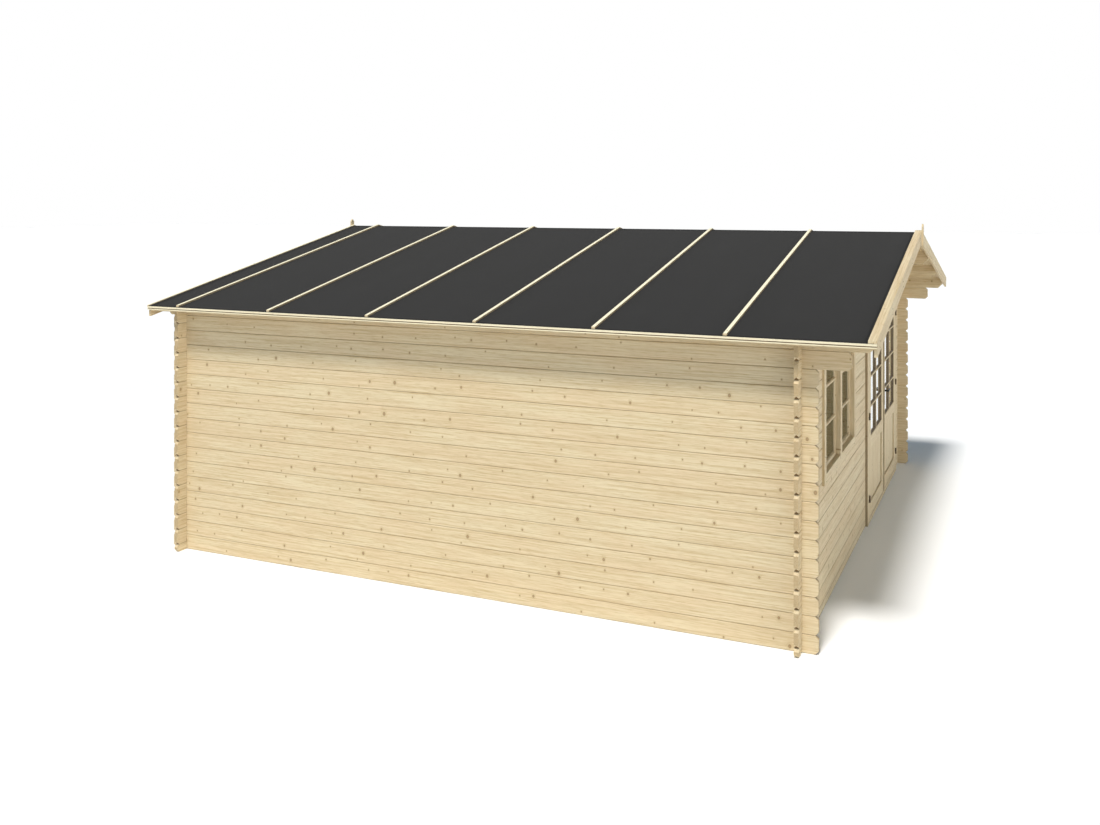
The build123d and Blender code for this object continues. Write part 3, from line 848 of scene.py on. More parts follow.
def metal(name, colour, metallic, wear):
    """Coated or browned metal, brushed a little and rubbed where it is touched."""
    material, shader = new_material(name)
    mottle = shader.speckle(MOTTLE, 4.0)
    brushed = shader.speckle(BRUSHED, 2.0)
    rubbed = tuple(min(1.0, value * RUBBED_PALE + 0.01) for value in colour)
    tone = shader.mix(shader.step(mottle, *RUBBED_EDGES) * wear, colour, rubbed)
    sockets = {
        "Base Color": tone, "Metallic": metallic, "Roughness": 0.34 + mottle * 0.2 + brushed * 0.08,
        "Normal": shader.bump(brushed + mottle * 0.5, depth=0.0002, strength=0.3),
    }
    shader.surface(shader.node("ShaderNodeBsdfPrincipled", None, sockets))
    return material


def glazing(name, glare, tint):
    """Clear glass that lets daylight in and mirrors its surroundings at a low angle."""
    material, shader = new_material(name)
    film = shader.speckle(FILM)
    clear = shader.node("ShaderNodeBsdfTransparent", None, {"Color": tuple(tint)})
    mirror = shader.node("ShaderNodeBsdfGlossy", None, {"Color": WHITE, "Roughness": 0.01})
    angle = shader.node("ShaderNodeFresnel", None, {"IOR": 1.45})
    share = angle * (glare + (film - 0.5) * 0.1)
    shader.surface(shader.node("ShaderNodeMixShader", None, {0: share, 1: clear, 2: mirror}))
    return material


# Building pieces


def set_material(material, *nodes):
    """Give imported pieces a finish."""
    for node in nodes:
        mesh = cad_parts[node].data
        mesh.materials.clear()
        mesh.materials.append(material)


def add_piece(name, mesh, material, body, replaced=()):
    """Put a finished mesh on its body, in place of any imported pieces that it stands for."""
    mesh.materials.append(material)
    piece = bpy.data.objects.new(name, mesh)
    bpy.context.scene.collection.objects.link(piece)
    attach(piece, body)
    if replaced:
        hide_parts(*replaced)
    return piece


def turned_outwards(points, faces):
    """Faces of a closed form, all facing out of it."""
    volume = 0.0
    for face in faces:
        first = points[face[0]]
        for second, third in zip(face[1:-1], face[2:]):
            volume += first.dot(points[second].cross(points[third]))
    return faces if volume > 0 else [face[::-1] for face in faces]


def prism_faces(count, rings):
    """Faces of a closed form whose outlines of count points follow one another."""
    faces = [tuple(range(count)), tuple(range((rings - 1) * count, rings * count))[::-1]]
    for ring in range(rings - 1):
        for corner in range(count):
            after = (corner + 1) % count
            low, high = ring * count, (ring + 1) * count
            faces.append((low + after, low + corner, high + corner, high + after))
    return faces


class Timber:
    """Lengths of timber that make up one piece, each with its grain along its own length."""

    def __init__(self, seed):
        self.points, self.faces, self.grain, self.board = [], [], [], []
        self.draw = random.Random(seed)

    def length(self, start, end):
        """Add a length of timber between two matching end outlines."""
        points = [Vector(point) for point in (*start, *end)]
        count = len(start)
        middles = [sum(points[:count], Vector()) / count, sum(points[count:], Vector()) / count]
        along = (middles[1] - middles[0]).normalized()
        edges = [points[i] - points[i - 1] for i in range(1, count)]
        edges = [edge - along * edge.dot(along) for edge in edges]
        across = max(edges, key=lambda edge: edge.length).normalized()
        through = along.cross(across)
        offset = Vector((self.draw.uniform(0, GRAIN_RUN), 0, self.draw.uniform(0, GRAIN_DEPTH)))
        board = self.draw.random()
        first = len(self.points)
        faces = turned_outwards(points, prism_faces(count, 2))
        self.points += points
        self.faces += [tuple(first + corner for corner in face) for face in faces]
        for point in points:
            apart = point - middles[0]
            self.grain.append(Vector((apart.dot(along), apart.dot(across), apart.dot(through))) + offset)
            self.board.append(board)

    def bar(self, low, high, axis, arris):
        """Add a straight length between two corners, along one axis, with its long edges chamfered."""
        one, two = [number for number in range(3) if number != axis]
        outline = []
        for at_one, at_two, first_turn in ((0, 0, 1), (1, 0, 0), (1, 1, 1), (0, 1, 0)):
            for moves_one in ((0, 1) if first_turn else (1, 0)):
                corner = [0.0, 0.0, 0.0]
                corner[one] = (high[one] if at_one else low[one])
                corner[two] = (high[two] if at_two else low[two])
                if moves_one:
                    corner[one] += -arris if at_one else arris
                else:
                    corner[two] += -arris if at_two else arris
                outline.append(corner)
        ends = []
        for place in (low[axis], high[axis]):
            ends.append([
                [place if part == axis else corner[part] for part in range(3)] for corner in outline
            ])
        self.length(*ends)

    def surround(self, low, high, back, profile):
        """Add four mitred lengths round an upright rectangle. The profile's points go inwards and in Y."""
        corners = ((low[0], low[1], 1, 1), (high[0], low[1], -1, 1), (high[0], high[1], -1, -1),
                   (low[0], high[1], 1, -1))
        outlines = [
            [(x + inwards * to_x, back + out, z + inwards * to_z) for inwards, out in profile]
            for x, z, to_x, to_z in corners
        ]
        for side in range(4):
            self.length(outlines[side], outlines[(side + 1) % 4])

    def piece(self, name, material, body, slot, replaced=()):
        """Finish the piece and put it on its body."""
        mesh = bpy.data.meshes.new(name)
        mesh.from_pydata(self.points, [], self.faces)
        grain = mesh.attributes.new(GRAIN, "FLOAT_VECTOR", "POINT")
        grain.data.foreach_set("vector", [value for place in self.grain for value in place])
        board = mesh.attributes.new(BOARD, "FLOAT", "POINT")
        board.data.foreach_set("value", self.board)
        return add_piece(name, mesh, material, body, replaced)


class Heads:
    """Heads of the screws or nails of one piece."""

    profile = ((1.0, -0.1), (1.0, 0.12), (0.8, 0.3), (0.42, 0.36), (0.34, 0.1))
    sides = 10

    def __init__(self):
        self.points, self.faces = [], []

    def head(self, place, out, radius):
        """Add a head with a driver's socket, on a surface that faces out."""
        out = Vector(out).normalized()
        side = out.orthogonal().normalized()
        other = out.cross(side)
        points = []
        for share, rise in self.profile:
            for number in range(self.sides):
                turn = 2 * math.pi * number / self.sides
                arm = side * math.cos(turn) + other * math.sin(turn)
                points.append(Vector(place) + (arm * share + out * rise) * radius)
        first = len(self.points)
        faces = turned_outwards(points, prism_faces(self.sides, len(self.profile)))
        self.points += points
        self.faces += [tuple(first + corner for corner in face) for face in faces]

    def piece(self, name, material, body, slot):
        mesh = bpy.data.meshes.new(name)
        mesh.from_pydata(self.points, [], self.faces)
        return add_piece(name, mesh, material, body)


def spaced(low, high, pitch, margin):
    """Even places between two ends, at about a pitch apart, that keep a margin from the ends."""
    gaps = max(1, round((high - low - 2 * margin) / pitch))
    step = (high - low - 2 * margin) / gaps
    return [low + margin + step * number for number in range(gaps + 1)]


def separate_spans(node, part, apart):
    """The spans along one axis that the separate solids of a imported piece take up."""
    places = sorted(vertex.co[part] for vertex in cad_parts[node].data.vertices)
    spans = [[places[0], places[0]]]
    for place in places:
        if place - spans[-1][1] > apart:
            spans.append([place, place])
        spans[-1][1] = place
    return spans


def down_slope(section, box, pitch):
    """The outlines at ridge and eave of a length that runs down a slope.

    The section's points go in Y and up.
    """
    low, high = box
    ridge, eave = sorted((low.x, high.x), key=abs)
    fall = abs(eave - ridge) * math.tan(pitch)
    ends = ((ridge, low.z + fall), (eave, low.z))
    return [[Vector((x, y, bottom + up)) for y, up in section] for x, bottom in ends]


def strip_section(front, back, rise, arris):
    """Section of a strip whose upper edges are chamfered."""
    return (
        (front, 0), (back, 0), (back, rise - arris), (back - arris, rise), (front + arris, rise),
        (front, rise - arris),
    )


def plumb_rise(box, pitch):
    """Upright height of a sloped piece."""
    low, high = box
    return high.z - low.z - (high.x - low.x) * math.tan(pitch)


def set_back(node, depth):
    """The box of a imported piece, moved inwards."""
    return [corner + Vector((0.0, depth, 0.0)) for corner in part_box(node)]


def bead_profile(width, depth, fill, lip, top):
    """Outline of a bead in a rebate of some depth, from its shares of depth and width."""
    out = depth * fill
    return ((0, 0), (width, 0), (width, out * lip), (width * top, out), (0, out))


class Glazed:
    """A glazed field between the members of a leaf or a sash."""

    def __init__(self, frame_box, glass_box, joinery):
        self.joinery = joinery
        self.front, self.back = frame_box[0].y, frame_box[1].y
        self.glass = (glass_box[0].y, glass_box[1].y)
        groove = joinery.glass_groove
        self.low = (glass_box[0].x + groove, glass_box[0].z + groove)
        self.high = (glass_box[1].x - groove, glass_box[1].z - groove)

    def cells(self, part, count):
        """Clear spans between the bars across one direction."""
        bar = self.joinery.bar_width
        clear = (self.high[part] - self.low[part] - bar * (count - 1)) / count
        return [(self.low[part] + number * (clear + bar), self.low[part] + number * (clear + bar) + clear)
                for number in range(count)]

    def fit(self, timber, beads, columns, rows):
        """Add the glazing bars to the timber, and a bead round every pane on both faces to the beads."""
        sizes = self.joinery
        near, far = self.front + sizes.bar_inset, self.back - sizes.bar_inset
        across, up = self.cells(0, columns), self.cells(1, rows)
        for left, right in zip(across[:-1], across[1:]):
            timber.bar((left[1], near, self.low[1]), (right[0], far, self.high[1]), 2, sizes.bar_chamfer)
        for left, right in across:
            for below, above in zip(up[:-1], up[1:]):
                timber.bar((left, near, below[1]), (right, far, above[0]), 0, sizes.bar_chamfer)
        for face, stop in ((self.glass[0], near), (self.glass[1], far)):
            profile = bead_profile(sizes.bead_width, stop - face, *GLAZING_BEAD)
            for left, right in across:
                for below, above in up:
                    beads.surround((left, below), (right, above), face, profile)


# Operators


class GARDEN_HOUSE_OT_log_walls(bpy.types.Operator):
    """Give the log walls and gables their planed spruce"""

    bl_idname = "garden_house.log_walls"
    bl_label = "Log Walls"

    def execute(self, context):
        finish = context.scene.house_finish
        side_logs = spruce("side_logs", log_lie(along_y=True, first_joint=0.0), finish)
        half_course_up = log_lie(along_y=False, first_joint=finish.course_height / 2)
        end_logs = spruce("end_logs", half_course_up, finish)
        set_material(side_logs, "left_wall", "right_wall", "left_wall_top", "right_wall_top")
        set_material(
            end_logs, "front_wall_corner", "front_wall_sill", "front_wall_pier", "front_wall_right",
            "front_wall_lintel", "front_gable", "back_wall", "back_gable",
        )
        return {"FINISHED"}


class GARDEN_HOUSE_OT_roof_boards(bpy.types.Operator):
    """Lay the roof boards from ridge to eaves and finish the purlins under them"""

    bl_idname = "garden_house.roof_boards"
    bl_label = "Roof Boards"

    def execute(self, context):
        finish, sizes = context.scene.house_finish, context.scene.house_joinery
        # Painted highlight on the purlins' undersides
        purlins = spruce("purlin_spruce", purlin_lie, finish, highlit_undersides)
        set_material(purlins, "ridge_purlin", "left_purlins", "right_purlins")
        laid = spruce("laid_spruce", laid_lie, finish)
        for side, name in ((-1, "left"), (1, "right")):
            self.lay_slope(name, side, laid, sizes)
        return {"FINISHED"}

    def lay_slope(self, name, side, laid, sizes):
        deck = f"{name}_roof_deck"
        low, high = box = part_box(deck)
        rise = plumb_rise(box, sizes.roof_pitch)
        groove = sizes.roof_board_groove
        count = round((high.y - low.y) / sizes.roof_board_width)
        cover = (high.y - low.y) / count
        timber = Timber(SEEDS["roof"] + side)
        for number in range(count):
            front = low.y + number * cover
            back = front + cover
            section = (
                (front + groove, 0), (back - groove, 0), (back, groove),
                (back, rise), (front, rise), (front, groove),
            )
            timber.length(*down_slope(section, box, sizes.roof_pitch))
        timber.piece(f"{name}_roof_boards", laid, "house", "roof_timber", (deck,))


class GARDEN_HOUSE_OT_roof_felt(bpy.types.Operator):
    """Roll out the felt in strips that lap under the battens"""

    bl_idname = "garden_house.roof_felt"
    bl_label = "Roof Felt"

    def execute(self, context):
        sizes = context.scene.house_joinery
        mineral = felt(context.scene.house_finish)
        for name in ("left", "right"):
            self.roll_out(name, mineral, sizes)
        return {"FINISHED"}

    def roll_out(self, name, mineral, sizes):
        node = f"{name}_roof_felt"
        low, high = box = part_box(node)
        full = plumb_rise(box, sizes.roof_pitch)
        sheet = min(sizes.felt_sheet, full)
        top = [(low.y, sheet)]
        for front, back in separate_spans(f"{name}_felt_battens", 1, sizes.roof_board_width):
            edge = min(back + sizes.felt_lap, high.y)
            top += [(front - sizes.felt_lap, sheet), (front, full), (edge, full), (edge, sheet)]
        top = [point for point in top if point[0] < high.y] + [(high.y, top[-1][1])]
        outline = [(low.y, 0.0), *top, (high.y, 0.0)]
        at_ridge, at_eave = down_slope(outline, box, sizes.roof_pitch)
        points = at_ridge + at_eave
        mesh = bpy.data.meshes.new(f"{name}_felt_strips")
        mesh.from_pydata(points, [], turned_outwards(points, prism_faces(len(outline), 2)))
        add_piece(f"{name}_felt_strips", mesh, mineral, "house", (node,))


class GARDEN_HOUSE_OT_roof_trim(bpy.types.Operator):
    """Lay the battens and the strips of the back bargeboards, and finish the rest of the roof's trim"""

    bl_idname = "garden_house.roof_trim"
    bl_label = "Roof Trim"

    def execute(self, context):
        finish, sizes = context.scene.house_finish, context.scene.house_joinery
        along_slope = slope_lie(sizes.roof_pitch)
        # Painted shade on the battens' sides and painted highlight on their tops
        battens = spruce("batten_spruce", shaded_sides(along_slope, 1, BATTEN_SIDE_SHADE), finish, highlit_tops)
        for number, name in enumerate(("left", "right")):
            self.lay_battens(name, Timber(SEEDS["battens"] + number), battens, sizes)
        set_material(
            spruce("barge_spruce", along_slope, finish),
            "front_barge_caps", "front_left_bargeboard", "front_right_bargeboard", "back_left_bargeboard",
            "back_right_bargeboard",
        )
        self.cap_back(battens, sizes)
        set_material(spruce("upright_spruce", upright_lie, finish), "front_finial", "back_finial")
        # Painted shade in the eave strips' groove and painted highlight on their lips
        set_material(
            spruce("eave_spruce", eave_lie, finish, highlit_lips),
            "left_eave_strip", "right_eave_strip", "left_eave_lath", "right_eave_lath",
        )
        return {"FINISHED"}

    def lay_battens(self, name, timber, material, sizes):
        node = f"{name}_felt_battens"
        rise = sizes.batten_thickness / math.cos(sizes.roof_pitch)
        half = sizes.batten_width / 2
        for front, back in separate_spans(node, 1, sizes.roof_board_width):
            middle = (front + back) / 2
            section = strip_section(middle - half, middle + half, rise, sizes.arris)
            timber.length(*down_slope(section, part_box(node), sizes.roof_pitch))
        timber.piece(f"{name}_batten_strips", material, "house", "trim_timber", (node,))

    def cap_back(self, material, sizes):
        timber = Timber(SEEDS["rake"])
        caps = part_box("back_barge_caps")
        front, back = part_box("back_left_bargeboard")[0].y, caps[1].y
        section = strip_section(front, back, sizes.rake_strip / math.cos(sizes.roof_pitch), sizes.arris)
        for reach in (caps[0].x, caps[1].x):
            half = [Vector((x, corner.y, corner.z)) for x, corner in zip(sorted((0.0, reach)), caps)]
            timber.length(*down_slope(section, half, sizes.roof_pitch))
        timber.piece("back_rake_strips", material, "house", "trim_timber", ("back_barge_caps",))


class GARDEN_HOUSE_OT_door_frame(bpy.types.Operator):
    """Finish the posts, head and threshold of the doorway"""

    bl_idname = "garden_house.door_frame"
    bl_label = "Door Frame"

    def execute(self, context):
        finish = context.scene.house_finish
        # Painted shade on the posts' sides that face along X
        sides = shaded_sides(upright_lie, 0, JAMB_SIDE_SHADE)
        posts = spruce("jamb_spruce", sides, finish, stain=finish.door_shade_colour)
        set_material(posts, "door_left_jamb", "door_right_jamb")
        set_material(spruce("level_spruce", level_lie, finish), "door_head", "door_threshold")
        return {"FINISHED"}


class GARDEN_HOUSE_OT_door_leaves(bpy.types.Operator):
    """Frame up the door leaves: stiles, rails, panels, glazing bars, beads and the strip at their gap"""

    bl_idname = "garden_house.door_leaves"
    bl_label = "Door Leaves"

    def execute(self, context):
        finish, sizes = context.scene.house_finish, context.scene.house_joinery
        laid = spruce("laid_spruce", laid_lie, finish)
        # Painted shade on the beads
        shaded = spruce("bead_shade_spruce", shaded_bead_lie, finish, stain=finish.door_shade_colour)
        for number, name in enumerate(("left", "right")):
            leaf, body = f"{name}_door_leaf", f"{name}_door"
            timber, beads = Timber(SEEDS["leaves"] + number), Timber(SEEDS["beads"] + number)
            self.frame_up(timber, beads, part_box(leaf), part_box(f"{name}_door_glass"), sizes)
            timber.piece(f"{name}_door_joinery", laid, body, "joinery_timber", (leaf,))
            beads.piece(f"{name}_door_beads", shaded, body, "joinery_timber")
        self.add_strip(finish, sizes)
        return {"FINISHED"}

    def add_strip(self, finish, sizes):
        # Painted shade on the strip's sides that face along X
        sides = shaded_sides(laid_lie, 0, STRIP_SIDE_SHADE)
        edged = spruce("strip_spruce", sides, finish, stain=finish.door_shade_colour)
        low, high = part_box("right_door_leaf")
        strip = Timber(SEEDS["strip"])
        edge = low.x + 2 * sizes.arris
        front = low.y - sizes.strip_thickness
        strip.bar((edge, front, low.z), (edge + sizes.strip_width, low.y, high.z), 2, sizes.arris)
        strip.piece("door_meeting_strip", edged, "right_door", "joinery_timber")

    def frame_up(self, timber, beads, leaf, glass, sizes):
        low, high = leaf
        field = Glazed(leaf, glass, sizes)
        left, right = field.low[0], field.high[0]
        lock_bottom = field.low[1] - sizes.lock_rail
        panel_bottom = low.z + sizes.bottom_rail
        timber.bar(low, (left, high.y, high.z), 2, sizes.arris)
        timber.bar((right, low.y, low.z), high, 2, sizes.arris)
        for bottom, top in ((low.z, panel_bottom), (lock_bottom, field.low[1]), (field.high[1], high.z)):
            timber.bar((left, low.y, bottom), (right, high.y, top), 0, sizes.arris)
        front = (low.y + high.y - sizes.panel_thickness) / 2
        back = front + sizes.panel_thickness
        gap = sizes.panel_gap
        cover = (right - left - 2 * gap) / sizes.panel_boards
        for number in range(sizes.panel_boards):
            start = left + gap + number * cover
            bottom, top = panel_bottom + gap, lock_bottom - gap
            timber.bar((start, front, bottom), (start + cover, back, top), 2, sizes.arris / 3)
        profile = bead_profile(sizes.bead_width, high.y - back, *PANEL_BEAD)
        timber.surround((left, panel_bottom), (right, lock_bottom), back, profile)
        field.fit(timber, beads, columns=2, rows=4)


class GARDEN_HOUSE_OT_window(bpy.types.Operator):
    """Build the double window: casing, lining, mullion, sashes, glazing bars and beads"""

    bl_idname = "garden_house.window"
    bl_label = "Window"

    def execute(self, context):
        finish, sizes = context.scene.house_finish, context.scene.house_joinery
        laid = spruce("laid_spruce", laid_lie, finish)
        casing = Timber(SEEDS["casing"])
        self.case_opening(casing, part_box("window_frame"), sizes)
        casing.piece("window_casing", laid, "house", "joinery_timber", ("window_frame",))
        for number, name in enumerate(("left", "right")):
            timber = Timber(SEEDS["sashes"] + number)
            sash = f"window_{name}_sash"
            glass = set_back(f"window_{name}_glass", sizes.pane_set_back)
            self.frame_up(timber, set_back(sash, sizes.sash_set_back), glass, sizes)
            timber.piece(f"window_{name}_joinery", laid, "house", "joinery_timber", (sash,))
        return {"FINISHED"}

    def case_opening(self, timber, box, sizes):
        low, high = box
        width = sizes.window_lap + sizes.window_face
        arris = sizes.arris
        outer, inner = (low.x, low.z), (high.x, high.z)
        wall_front, wall_back = FRONT_WALL[0].y, FRONT_WALL[1].y
        for face, out in ((wall_front, -sizes.casing_thickness), (wall_back, high.y - wall_back)):
            edge = math.copysign(arris, out)
            profile = (
                (0, 0), (width, 0), (width, out - edge), (width - arris, out), (arris, out), (0, out - edge),
            )
            timber.surround(outer, inner, face, profile)
        lap = sizes.window_lap
        depth = wall_back - wall_front
        lining = ((0, 0), (sizes.window_face, 0), (sizes.window_face, depth), (0, depth))
        timber.surround((low.x + lap, low.z + lap), (high.x - lap, high.z - lap), wall_front, lining)
        middle = (low.x + high.x) / 2
        half = sizes.mullion / 2
        seat = set_back("window_left_sash", sizes.sash_set_back)[0].y
        front = wall_front - sizes.casing_thickness
        for reach, near, far in ((half + sizes.mullion_rebate, front, seat), (half, seat, high.y)):
            timber.bar((middle - reach, near, low.z + width), (middle + reach, far, high.z - width), 2, arris)

    def frame_up(self, timber, sash, glass, sizes):
        low, high = sash
        field = Glazed(sash, glass, sizes)
        left, right = field.low[0], field.high[0]
        timber.bar(low, (left, high.y, high.z), 2, sizes.arris)
        timber.bar((right, low.y, low.z), high, 2, sizes.arris)
        for bottom, top in ((low.z, field.low[1]), (field.high[1], high.z)):
            timber.bar((left, low.y, bottom), (right, high.y, top), 0, sizes.arris)
        field.fit(timber, timber, columns=1, rows=3)


class GARDEN_HOUSE_OT_glass(bpy.types.Operator):
    """Glaze the doors and the window"""

    bl_idname = "garden_house.glass"
    bl_label = "Glass"

    def execute(self, context):
        finish, sizes = context.scene.house_finish, context.scene.house_joinery
        door_panes = glazing("door_panes", finish.door_glare, finish.glass_tint)
        set_material(door_panes, "left_door_glass", "right_door_glass")
        panes = glazing("window_panes", finish.window_glare, finish.glass_tint)
        for number, name in enumerate(("left", "right")):
            pane, glass = Timber(SEEDS["panes"] + number), f"window_{name}_glass"
            pane.bar(*set_back(glass, sizes.pane_set_back), 2, sizes.pane_arris)
            pane.piece(f"window_{name}_pane", panes, "house", "clear_glass", (glass,))
        return {"FINISHED"}


class GARDEN_HOUSE_OT_ironwork(bpy.types.Operator):
    """Finish the hinges and handles"""

    bl_idname = "garden_house.ironwork"
    bl_label = "Ironwork"

    def execute(self, context):
        finish = context.scene.house_finish
        browned = metal("browned_steel", tuple(finish.hinge_colour), metallic=0.25, wear=0.5)
        coated = metal("black_coating", tuple(finish.lever_colour), metallic=0.0, wear=0.35)
        set_material(
            browned, "left_frame_hinges", "left_leaf_hinges", "right_frame_hinges", "right_leaf_hinges",
        )
        set_material(coated, "door_handles")
        return {"FINISHED"}


class GARDEN_HOUSE_OT_fixings(bpy.types.Operator):
    """Drive the nails of the battens and the screws of the bargeboards and casing"""

    bl_idname = "garden_house.fixings"
    bl_label = "Fixings"

    def execute(self, context):
        sizes = context.scene.house_joinery
        steel = bpy.data.materials["browned_steel"]
        for name in ("left", "right"):
            nails = Heads()
            self.nail_battens(nails, name, sizes)
            nails.piece(f"{name}_batten_nails", steel, "house", "hinge_metal")
        for name, out in (("front", -1), ("back", 1)):
            screws = Heads()
            self.screw_barges(screws, name, out, sizes)
            screws.piece(f"{name}_barge_screws", steel, "house", "hinge_metal")
        screws = Heads()
        self.screw_casing(screws, sizes)
        screws.piece("window_casing_screws", steel, "house", "hinge_metal")
        return {"FINISHED"}

    def nail_battens(self, nails, name, sizes):
        node = f"{name}_felt_battens"
        low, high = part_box(node)
        pitch = sizes.roof_pitch
        ridge, eave = sorted((low.x, high.x), key=abs)
        side = math.copysign(1.0, eave)
        out = (side * math.sin(pitch), 0.0, math.cos(pitch))
        rise = sizes.batten_thickness / math.cos(pitch)
        for front, back in separate_spans(node, 1, sizes.roof_board_width):
            for reach in spaced(abs(ridge), abs(eave), *BATTEN_NAILS):
                height = low.z + (abs(eave) - reach) * math.tan(pitch) + rise
                nails.head((side * reach, (front + back) / 2, height), out, sizes.nail_radius)

    def screw_barges(self, screws, name, out, sizes):
        pitch = math.tan(sizes.roof_pitch)
        for side in ("left", "right"):
            low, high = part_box(f"{name}_{side}_bargeboard")
            ridge, eave = sorted((low.x, high.x), key=abs)
            face = low.y if out < 0 else high.y
            plumb = (high.z - low.z) - (abs(eave) - abs(ridge)) * pitch
            for reach in spaced(abs(ridge), abs(eave), *BARGE_SCREWS):
                top = high.z - (reach - abs(ridge)) * pitch
                for share in BARGE_ROWS:
                    place = (math.copysign(reach, eave), face, top - plumb * share)
                    screws.head(place, (0, out, 0), sizes.screw_radius)

    def screw_casing(self, screws, sizes):
        low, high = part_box("window_frame")
        inset = sizes.window_lap / 2 + sizes.arris
        face = FRONT_WALL[0].y - sizes.casing_thickness
        out = (0, -1, 0)
        for x in spaced(low.x, high.x, *LEVEL_CASING_SCREWS):
            screws.head((x, face, low.z + inset), out, sizes.screw_radius)
            screws.head((x, face, high.z - inset), out, sizes.screw_radius)
        for z in spaced(low.z, high.z, *UPRIGHT_CASING_SCREWS):
            screws.head((low.x + inset, face, z), out, sizes.screw_radius)
            screws.head((high.x - inset, face, z), out, sizes.screw_radius)


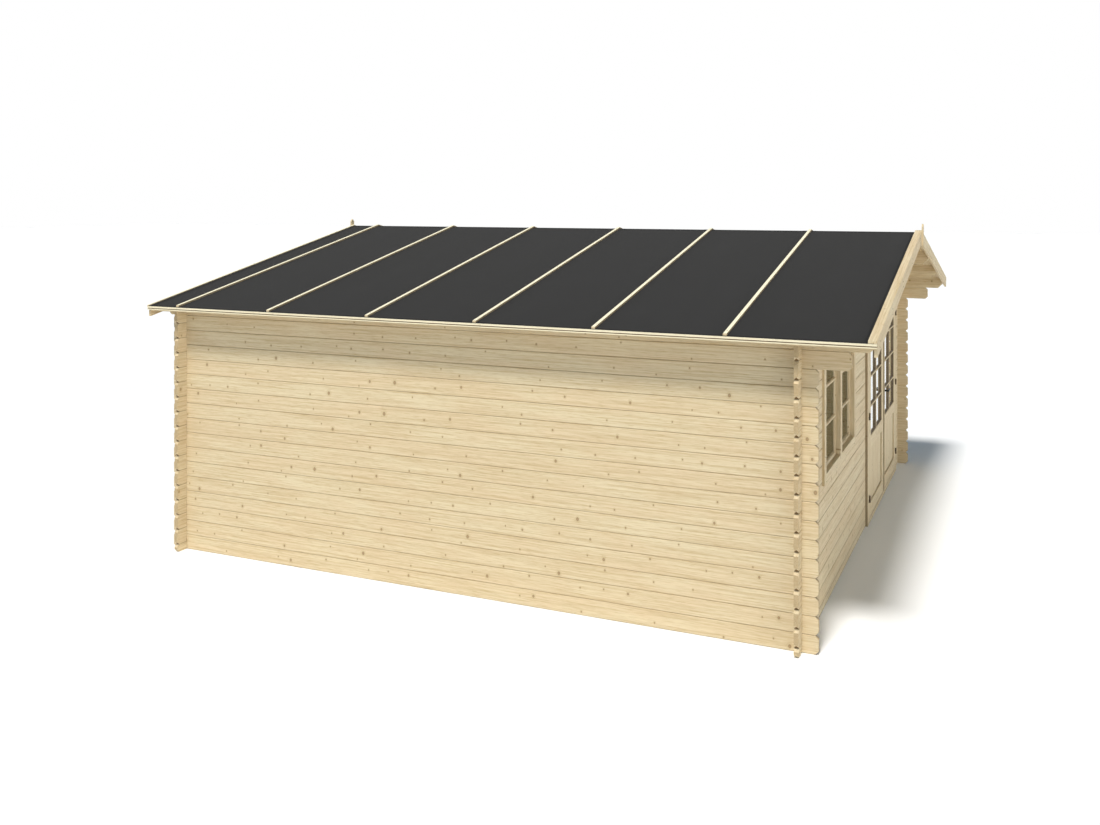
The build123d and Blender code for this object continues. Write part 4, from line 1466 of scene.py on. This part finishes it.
class GARDEN_HOUSE_OT_stage(bpy.types.Operator):
    """Set up the camera, the light and the pale floor"""

    bl_idname = "garden_house.stage"
    bl_label = "Stage"

    def execute(self, context):
        scene, stage = context.scene, context.scene.house_stage
        scene.view_settings.view_transform = "Standard"
        self.set_camera(scene, stage)
        self.add_sun("soft_sun", stage.sun_travel, stage.sun_strength, stage.sun_size, stage.sun_colour)
        self.add_sun("level_fill", stage.fill_travel, stage.fill_strength, stage.fill_size, stage.fill_colour)
        inside = (0.0, WALL_MIDDLE, RIGHT_DECK[0].z)
        self.add_panel("inside_fill", inside, 0.0, stage.inside_watts, (stage.inside_size, stage.inside_size))
        ahead = (0.0, FRONT_WALL[0].y - stage.ground_size / 2, 2 * stage.floor_drop)
        self.add_panel("ground_fill", ahead, math.pi, stage.ground_watts, (WALL_WIDTH, stage.ground_size))
        self.set_sky(scene, stage)
        self.lay_floor(scene, stage)
        return {"FINISHED"}

    def set_camera(self, scene, stage):
        data = bpy.data.cameras.new("photo_camera")
        data.sensor_fit = "HORIZONTAL"
        data.sensor_width = SENSOR_WIDTH
        data.lens = stage.camera_lens
        data.shift_y = stage.camera_shift
        data.clip_end = 4 * stage.floor_reach
        camera = bpy.data.objects.new("photo_camera", data)
        camera.location = stage.camera_place
        camera.rotation_euler = (math.pi / 2, 0.0, stage.camera_heading)
        scene.collection.objects.link(camera)
        scene.camera = camera

    def add_sun(self, name, travel, strength, size, colour):
        data = bpy.data.lights.new(name, "SUN")
        data.color = colour
        data.energy = strength
        data.angle = size
        sun = bpy.data.objects.new(name, data)
        sun.rotation_euler = Vector(travel).to_track_quat("-Z", "Y").to_euler()
        bpy.context.scene.collection.objects.link(sun)

    def add_panel(self, name, place, turn, watts, size):
        data = bpy.data.lights.new(name, "AREA")
        data.shape = "RECTANGLE"
        data.energy = watts
        data.size, data.size_y = size
        lamp = bpy.data.objects.new(name, data)
        lamp.location = place
        lamp.rotation_euler = (turn, 0.0, 0.0)
        lamp.visible_camera = False
        lamp.visible_glossy = False
        bpy.context.scene.collection.objects.link(lamp)

    def set_sky(self, scene, stage):
        scene.world = bpy.data.worlds.new("pale_sky")
        scene.world.use_nodes = True
        shader = Shader(scene.world.node_tree)
        rays = shader.node("ShaderNodeLightPath")
        seen = rays + rays.output("Is Glossy Ray") + rays.output("Is Transmission Ray")
        sky = {"Color": tuple(stage.sky_colour), "Strength": stage.sky_strength}
        light = shader.node("ShaderNodeBackground", None, sky)
        white = shader.node("ShaderNodeBackground", None, {"Color": WHITE, "Strength": 1.0})
        both = shader.node("ShaderNodeMixShader", None, {0: seen, 1: light, 2: white})
        shader.node("ShaderNodeOutputWorld", None, {"Surface": both})

    def lay_floor(self, scene, stage):
        reach = stage.floor_reach
        mesh = bpy.data.meshes.new("pale_floor")
        corners = ((-reach, -reach), (reach, -reach), (reach, reach), (-reach, reach))
        mesh.from_pydata([(x, y, -stage.floor_drop) for x, y in corners], [], [(0, 1, 2, 3)])
        material, shader = new_material("pale_floor")
        sockets = {"Base Color": tuple(stage.floor_colour), "Roughness": 0.9, "Specular IOR Level": 0.1}
        shader.surface(shader.node("ShaderNodeBsdfPrincipled", None, sockets))
        mesh.materials.append(material)
        floor = bpy.data.objects.new("pale_floor", mesh)
        scene.collection.objects.link(floor)


class GARDEN_HOUSE_PT_finish(bpy.types.Panel):
    """Steps and sizes of the garden house's finish"""

    bl_label = "Garden House"
    bl_idname = "GARDEN_HOUSE_PT_finish"
    bl_space_type = "VIEW_3D"
    bl_region_type = "UI"
    bl_category = "Garden House"

    def draw(self, context):
        for operator in OPERATORS:
            self.layout.operator(operator.bl_idname)
        for name in GROUPS:
            group = getattr(context.scene, name)
            for key in group.bl_rna.properties.keys():
                if key not in {"rna_type", "name"}:
                    self.layout.prop(group, key)


GROUPS = {"house_finish": HouseFinish, "house_joinery": HouseJoinery, "house_stage": HouseStage}
OPERATORS = (
    GARDEN_HOUSE_OT_log_walls,
    GARDEN_HOUSE_OT_roof_boards,
    GARDEN_HOUSE_OT_roof_felt,
    GARDEN_HOUSE_OT_roof_trim,
    GARDEN_HOUSE_OT_door_frame,
    GARDEN_HOUSE_OT_door_leaves,
    GARDEN_HOUSE_OT_window,
    GARDEN_HOUSE_OT_glass,
    GARDEN_HOUSE_OT_ironwork,
    GARDEN_HOUSE_OT_fixings,
    GARDEN_HOUSE_OT_stage,
)


def register():
    for group in GROUPS.values():
        bpy.utils.register_class(group)
    for name, group in GROUPS.items():
        setattr(bpy.types.Scene, name, bpy.props.PointerProperty(type=group))
    for operator in OPERATORS:
        bpy.utils.register_class(operator)
    bpy.utils.register_class(GARDEN_HOUSE_PT_finish)


def unregister():
    bpy.utils.unregister_class(GARDEN_HOUSE_PT_finish)
    for operator in reversed(OPERATORS):
        bpy.utils.unregister_class(operator)
    for name, group in reversed(GROUPS.items()):
        delattr(bpy.types.Scene, name)
        bpy.utils.unregister_class(group)


def main():
    """Finish the house step by step."""
    register()
    for operator in OPERATORS:
        family, step = operator.bl_idname.split(".")
        getattr(getattr(bpy.ops, family), step)()


if __name__ == "__main__":
    main()
